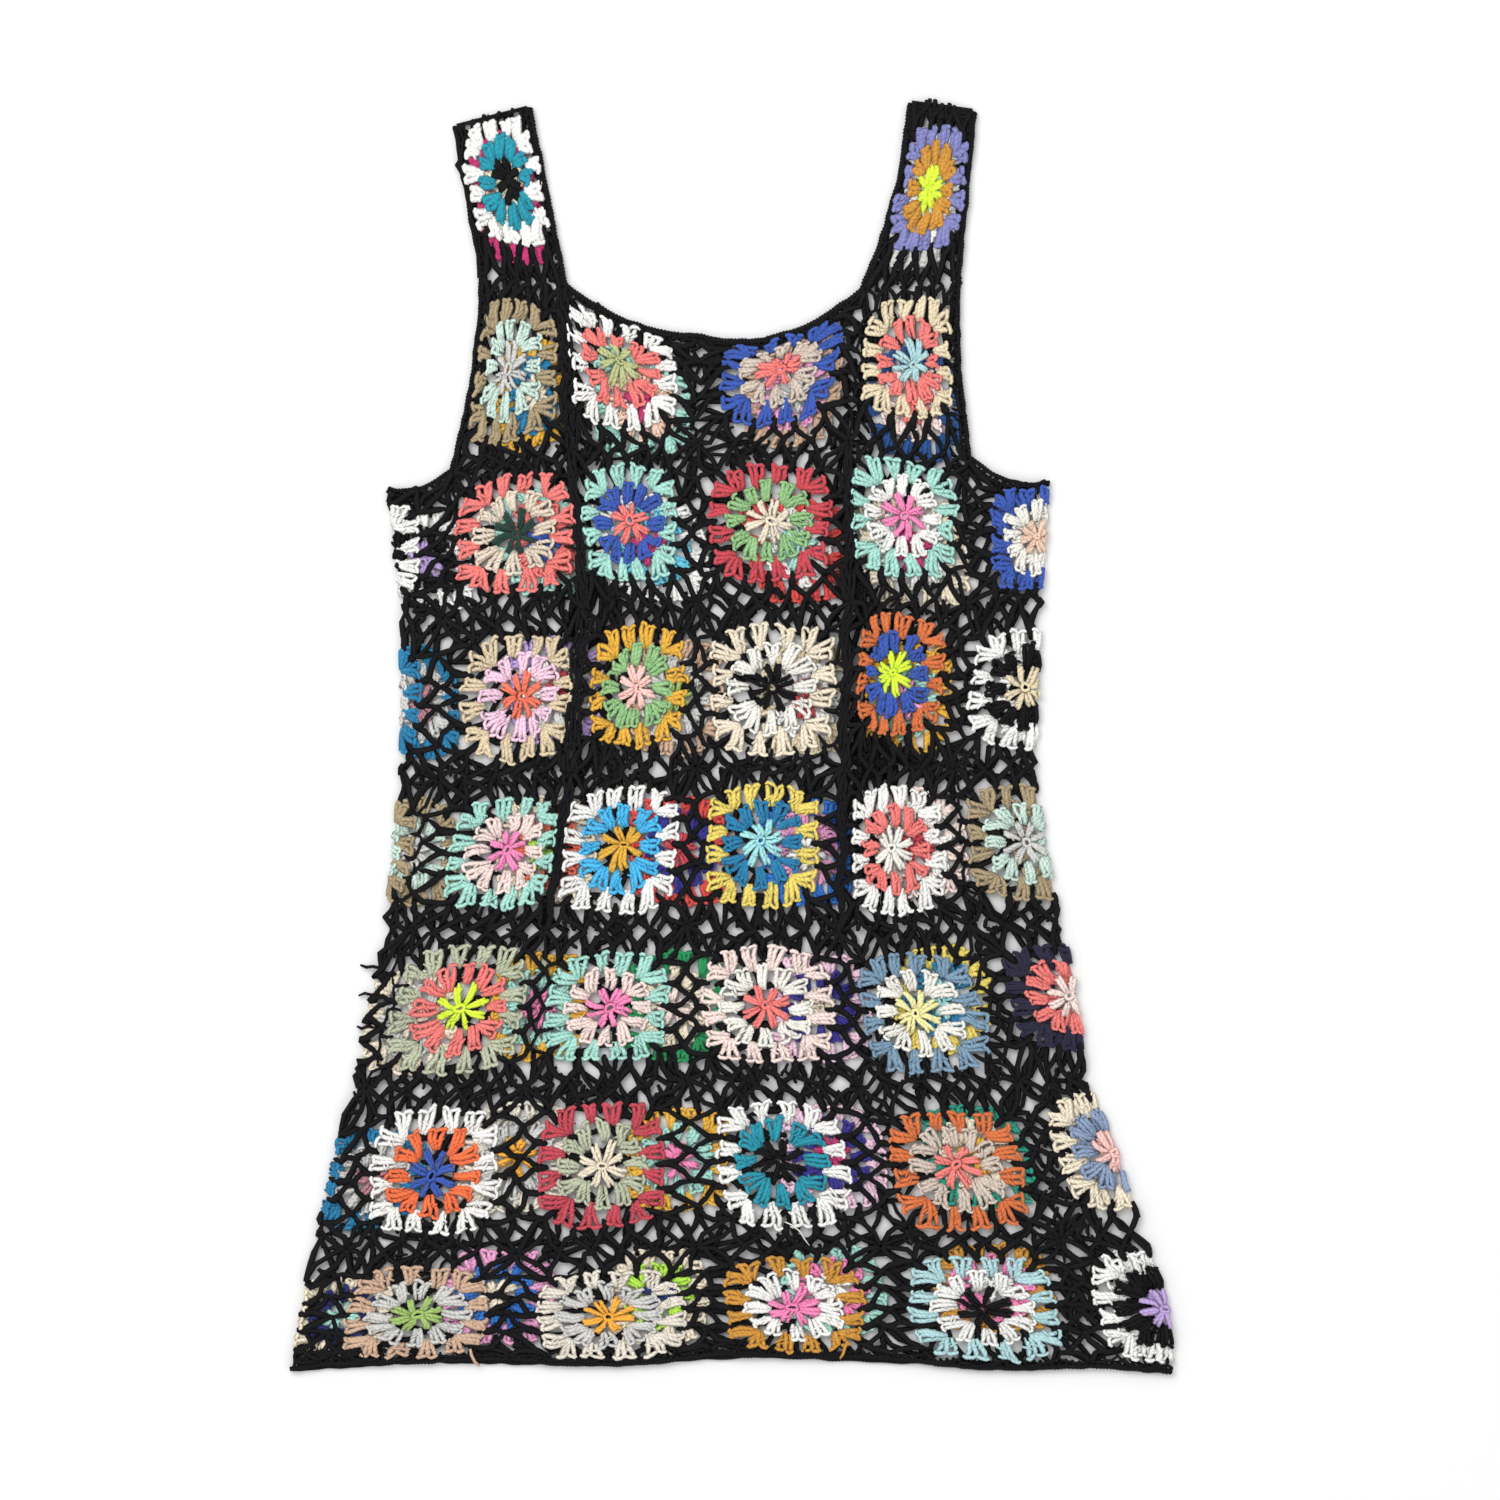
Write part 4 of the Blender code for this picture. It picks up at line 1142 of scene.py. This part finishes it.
class DressYarns(bpy.types.PropertyGroup):
    """The colour of each yarn"""

    __annotations__ = {
        name: bpy.props.FloatVectorProperty(
            name=name.replace("_", " ").capitalize(),
            description=f"Colour of the {name.replace('_', ' ')} yarn",
            subtype="COLOR", size=3, min=0.0, max=1.0, default=screen_to_light(colour))
        for name, colour in YARNS.items()
    }


class DressSizes(bpy.types.PropertyGroup):
    """Sizes of the yarn and of the view"""

    net_scale: bpy.props.FloatProperty(
        name="Net yarn", description="Thickness of the black yarn over the usual one",
        default=1.0, min=0.5, max=2.0, subtype="FACTOR")
    twist_length: bpy.props.FloatProperty(
        name="Twist length", description="Length of yarn from one ply to the next",
        default=3.0 * MM, min=0.0005, max=0.01, unit="LENGTH", subtype="DISTANCE")
    camera_height: bpy.props.FloatProperty(
        name="Camera height", description="Height of the camera over the floor",
        default=6.0, min=1.0, max=20.0, unit="LENGTH", subtype="DISTANCE")
    frame_width: bpy.props.FloatProperty(
        name="Frame width", description="Width of the floor that the camera sees",
        default=0.954, min=0.2, max=5.0, unit="LENGTH", subtype="DISTANCE")


# Seeds of the squares' and pleats' random draws
ROUND_SEED, PLEAT_SEED, YOKE_SEED, YOKE_PLEAT_SEED, STRAP_SEED = 100, 700, 20, 60, 50


class DRESS_OT_rounds(bpy.types.Operator):
    """Crochets the six rounds of ten squares that make the body"""

    bl_idname = "dress.rounds"
    bl_label = "Rounds of the body"

    def execute(self, context):
        last = SQUARES_ACROSS - 1
        for index, squares in enumerate(ROUND_SQUARES):
            strip = YarnPiece(), YarnPiece()
            seed = ROUND_SEED * (index + 1)
            front, back = round_cells(index, "front"), round_cells(index, "back")
            for column in range(SQUARES_ACROSS):
                fold = back[column] if column in (0, last) else None
                add_square(strip, squares[column], seed + column, front[column], fold)
            for column in range(1, last):
                add_square(strip, squares[last + column], seed + last + column, back[column])
            for column, fullness in PLEATS.items():
                if index + 1 < len(fullness):
                    add_pleat(strip[1], front[column], PLEAT_SEED + 10 * index + column, fullness[index + 1])
            add_crowded(strip[1], SEAM_LINES[index + 1].y[2], SEAM_LINES[index].y[2])
            add_loose_ends(strip, index)
            finish_strip(strip, f"round_{index + 1}", [f"round_{index + 1}_{side}" for side in LAYER_Z])
        return {"FINISHED"}


class DRESS_OT_yoke_and_straps(bpy.types.Operator):
    """Crochets the yoke's four squares in front and behind, and the strap squares"""

    bl_idname = "dress.yoke_and_straps"
    bl_label = "Yoke and straps"

    def execute(self, context):
        for layer, side in enumerate(LAYER_Z):
            strip = YarnPiece(), YarnPiece()
            for column, cell in enumerate(yoke_cells(side)):
                add_square(strip, YOKE_SQUARES[side][column], YOKE_SEED + column + layer * 10, cell)
                if side == "front" and PLEATS.get(column + 1, (None,))[0]:
                    add_pleat(strip[1], cell, YOKE_PLEAT_SEED + column, PLEATS[column + 1][0])
            if side == "front":
                add_crowded(strip[1], SEAM_LINES[0].y[2], max(YOKE_TOP[1]))
            finish_strip(strip, f"yoke_{side}", [f"yoke_{side}"])
            for place, strap in enumerate(STRAP_COLUMN):
                strip = YarnPiece(), YarnPiece()
                cell = strap_cell(strap, side)
                seed = STRAP_SEED + place * 2 + layer
                add_square(strip, STRAP_SQUARES[strap, side], seed, cell, flower_scale=STRAP_YARN)
                if side == "front":
                    add_shoulder_seam(strip[1], cell, SHOULDER_SEAM[strap])
                finish_strip(strip, f"strap_{strap}_{side}", [f"strap_{strap}_{side}"])
        return {"FINISHED"}


class DRESS_OT_edgings(bpy.types.Operator):
    """Works the black edging round the neckline, the armholes and the hem"""

    bl_idname = "dress.edgings"
    bl_label = "Edgings"

    def execute(self, context):
        for name, width in EDGINGS.items():
            piece = YarnPiece()
            for layer, side in enumerate(LAYER_Z):
                add_edging(piece, edging_path(name, side), width, layer)
            finish_piece(piece.make(f"{name}_yarn"), [f"{name}_{side}" for side in LAYER_Z])
        return {"FINISHED"}


class DRESS_OT_cuts(bpy.types.Operator):
    """Lists every strip of squares with the number of its squares"""

    bl_idname = "dress.cuts"
    bl_label = "Cut of the cloth"

    def execute(self, context):
        strips = {f"round_{index + 1}": SQUARES_IN_ROUND for index in range(ROUNDS)}
        for side in LAYER_Z:
            strips[f"yoke_{side}"] = len(YOKE_SQUARES[side])
            for strap in STRAP_COLUMN:
                strips[f"strap_{strap}_{side}"] = 1
        return {"FINISHED"}


# The stage, in metres and degrees
FLOOR_HALF, FLOOR_DROP = 4.0, 0.0003
FLOOR_GREY, FLOOR_ROUGHNESS, FLOOR_SHINE = 0.93, 0.9, 0.1
SKY_STRENGTH = 0.85
LAMP_SIZE, LAMP_WATTS = 1.6, 32.0
LAMP_PLACE, LAMP_TILT = (-0.9, 1.1, 2.4), (-24.0, -20.0, 0.0)
CAMERA_MIDDLE = (0.0118, -0.0073)
CAMERA_SENSOR, CAMERA_REACH = 36.0, 50.0


class DRESS_OT_stage(bpy.types.Operator):
    """Sets the pale floor, the soft light and the camera straight above"""

    bl_idname = "dress.stage"
    bl_label = "Floor, light and camera"

    def execute(self, context):
        scene, sizes = context.scene, context.scene.dress_sizes
        mesh = bpy.data.meshes.new("floor")
        corners = ((-1, -1), (1, -1), (1, 1), (-1, 1))
        mesh.from_pydata([(x * FLOOR_HALF, y * FLOOR_HALF, 0) for x, y in corners], [], [(0, 1, 2, 3)])
        floor = placed("floor", mesh)
        floor.location.z = -FLOOR_DROP
        material = bpy.data.materials.new("pale_floor")
        material.use_nodes = True
        dial(material.node_tree.nodes["Principled BSDF"], {
            "Base Color": (FLOOR_GREY, FLOOR_GREY, FLOOR_GREY, 1.0), "Roughness": FLOOR_ROUGHNESS,
            "Specular IOR Level": FLOOR_SHINE})
        mesh.materials.append(material)

        world = bpy.data.worlds.new("soft_studio")
        scene.world = world
        world.use_nodes = True
        dial(world.node_tree.nodes["Background"], {"Color": (1.0, 1.0, 1.0, 1.0), "Strength": SKY_STRENGTH})
        light = bpy.data.lights.new("soft_box", "AREA")
        light.shape = "SQUARE"
        light.size = LAMP_SIZE
        light.energy = LAMP_WATTS
        lamp = placed("soft_box", light)
        lamp.location = LAMP_PLACE
        lamp.rotation_euler = [math.radians(tilt) for tilt in LAMP_TILT]

        camera = bpy.data.cameras.new("camera")
        camera.sensor_width = CAMERA_SENSOR
        camera.lens = CAMERA_SENSOR * sizes.camera_height / sizes.frame_width
        camera.clip_end = CAMERA_REACH
        view = placed("camera", camera)
        view.location = (*CAMERA_MIDDLE, sizes.camera_height)
        scene.camera = view
        scene.view_settings.view_transform = "Standard"
        return {"FINISHED"}


class DRESS_PT_panel(bpy.types.Panel):
    """Lists the steps that build the dress"""

    bl_idname = "DRESS_PT_panel"
    bl_label = "Crochet dress"
    bl_space_type = "VIEW_3D"
    bl_region_type = "UI"
    bl_category = "Dress"

    def draw(self, context):
        column = self.layout.column()
        for name in DressSizes.__annotations__:
            column.prop(context.scene.dress_sizes, name)
        for step in STEPS:
            column.operator(step.bl_idname)
        colours = self.layout.column()
        for name in DressYarns.__annotations__:
            colours.prop(context.scene.dress_yarns, name)


STEPS = (DRESS_OT_stage, DRESS_OT_rounds, DRESS_OT_yoke_and_straps, DRESS_OT_edgings, DRESS_OT_cuts)
CLASSES = (DressYarns, DressSizes, *STEPS, DRESS_PT_panel)


def register():
    for cls in CLASSES:
        bpy.utils.register_class(cls)
    bpy.types.Scene.dress_yarns = bpy.props.PointerProperty(type=DressYarns)
    bpy.types.Scene.dress_sizes = bpy.props.PointerProperty(type=DressSizes)


def unregister():
    del bpy.types.Scene.dress_sizes
    del bpy.types.Scene.dress_yarns
    for cls in reversed(CLASSES):
        bpy.utils.unregister_class(cls)


def main():
    register()
    for step in STEPS:
        prefix, _, name = step.bl_idname.partition(".")
        getattr(getattr(bpy.ops, prefix), name)()


if __name__ == "__main__":
    main()
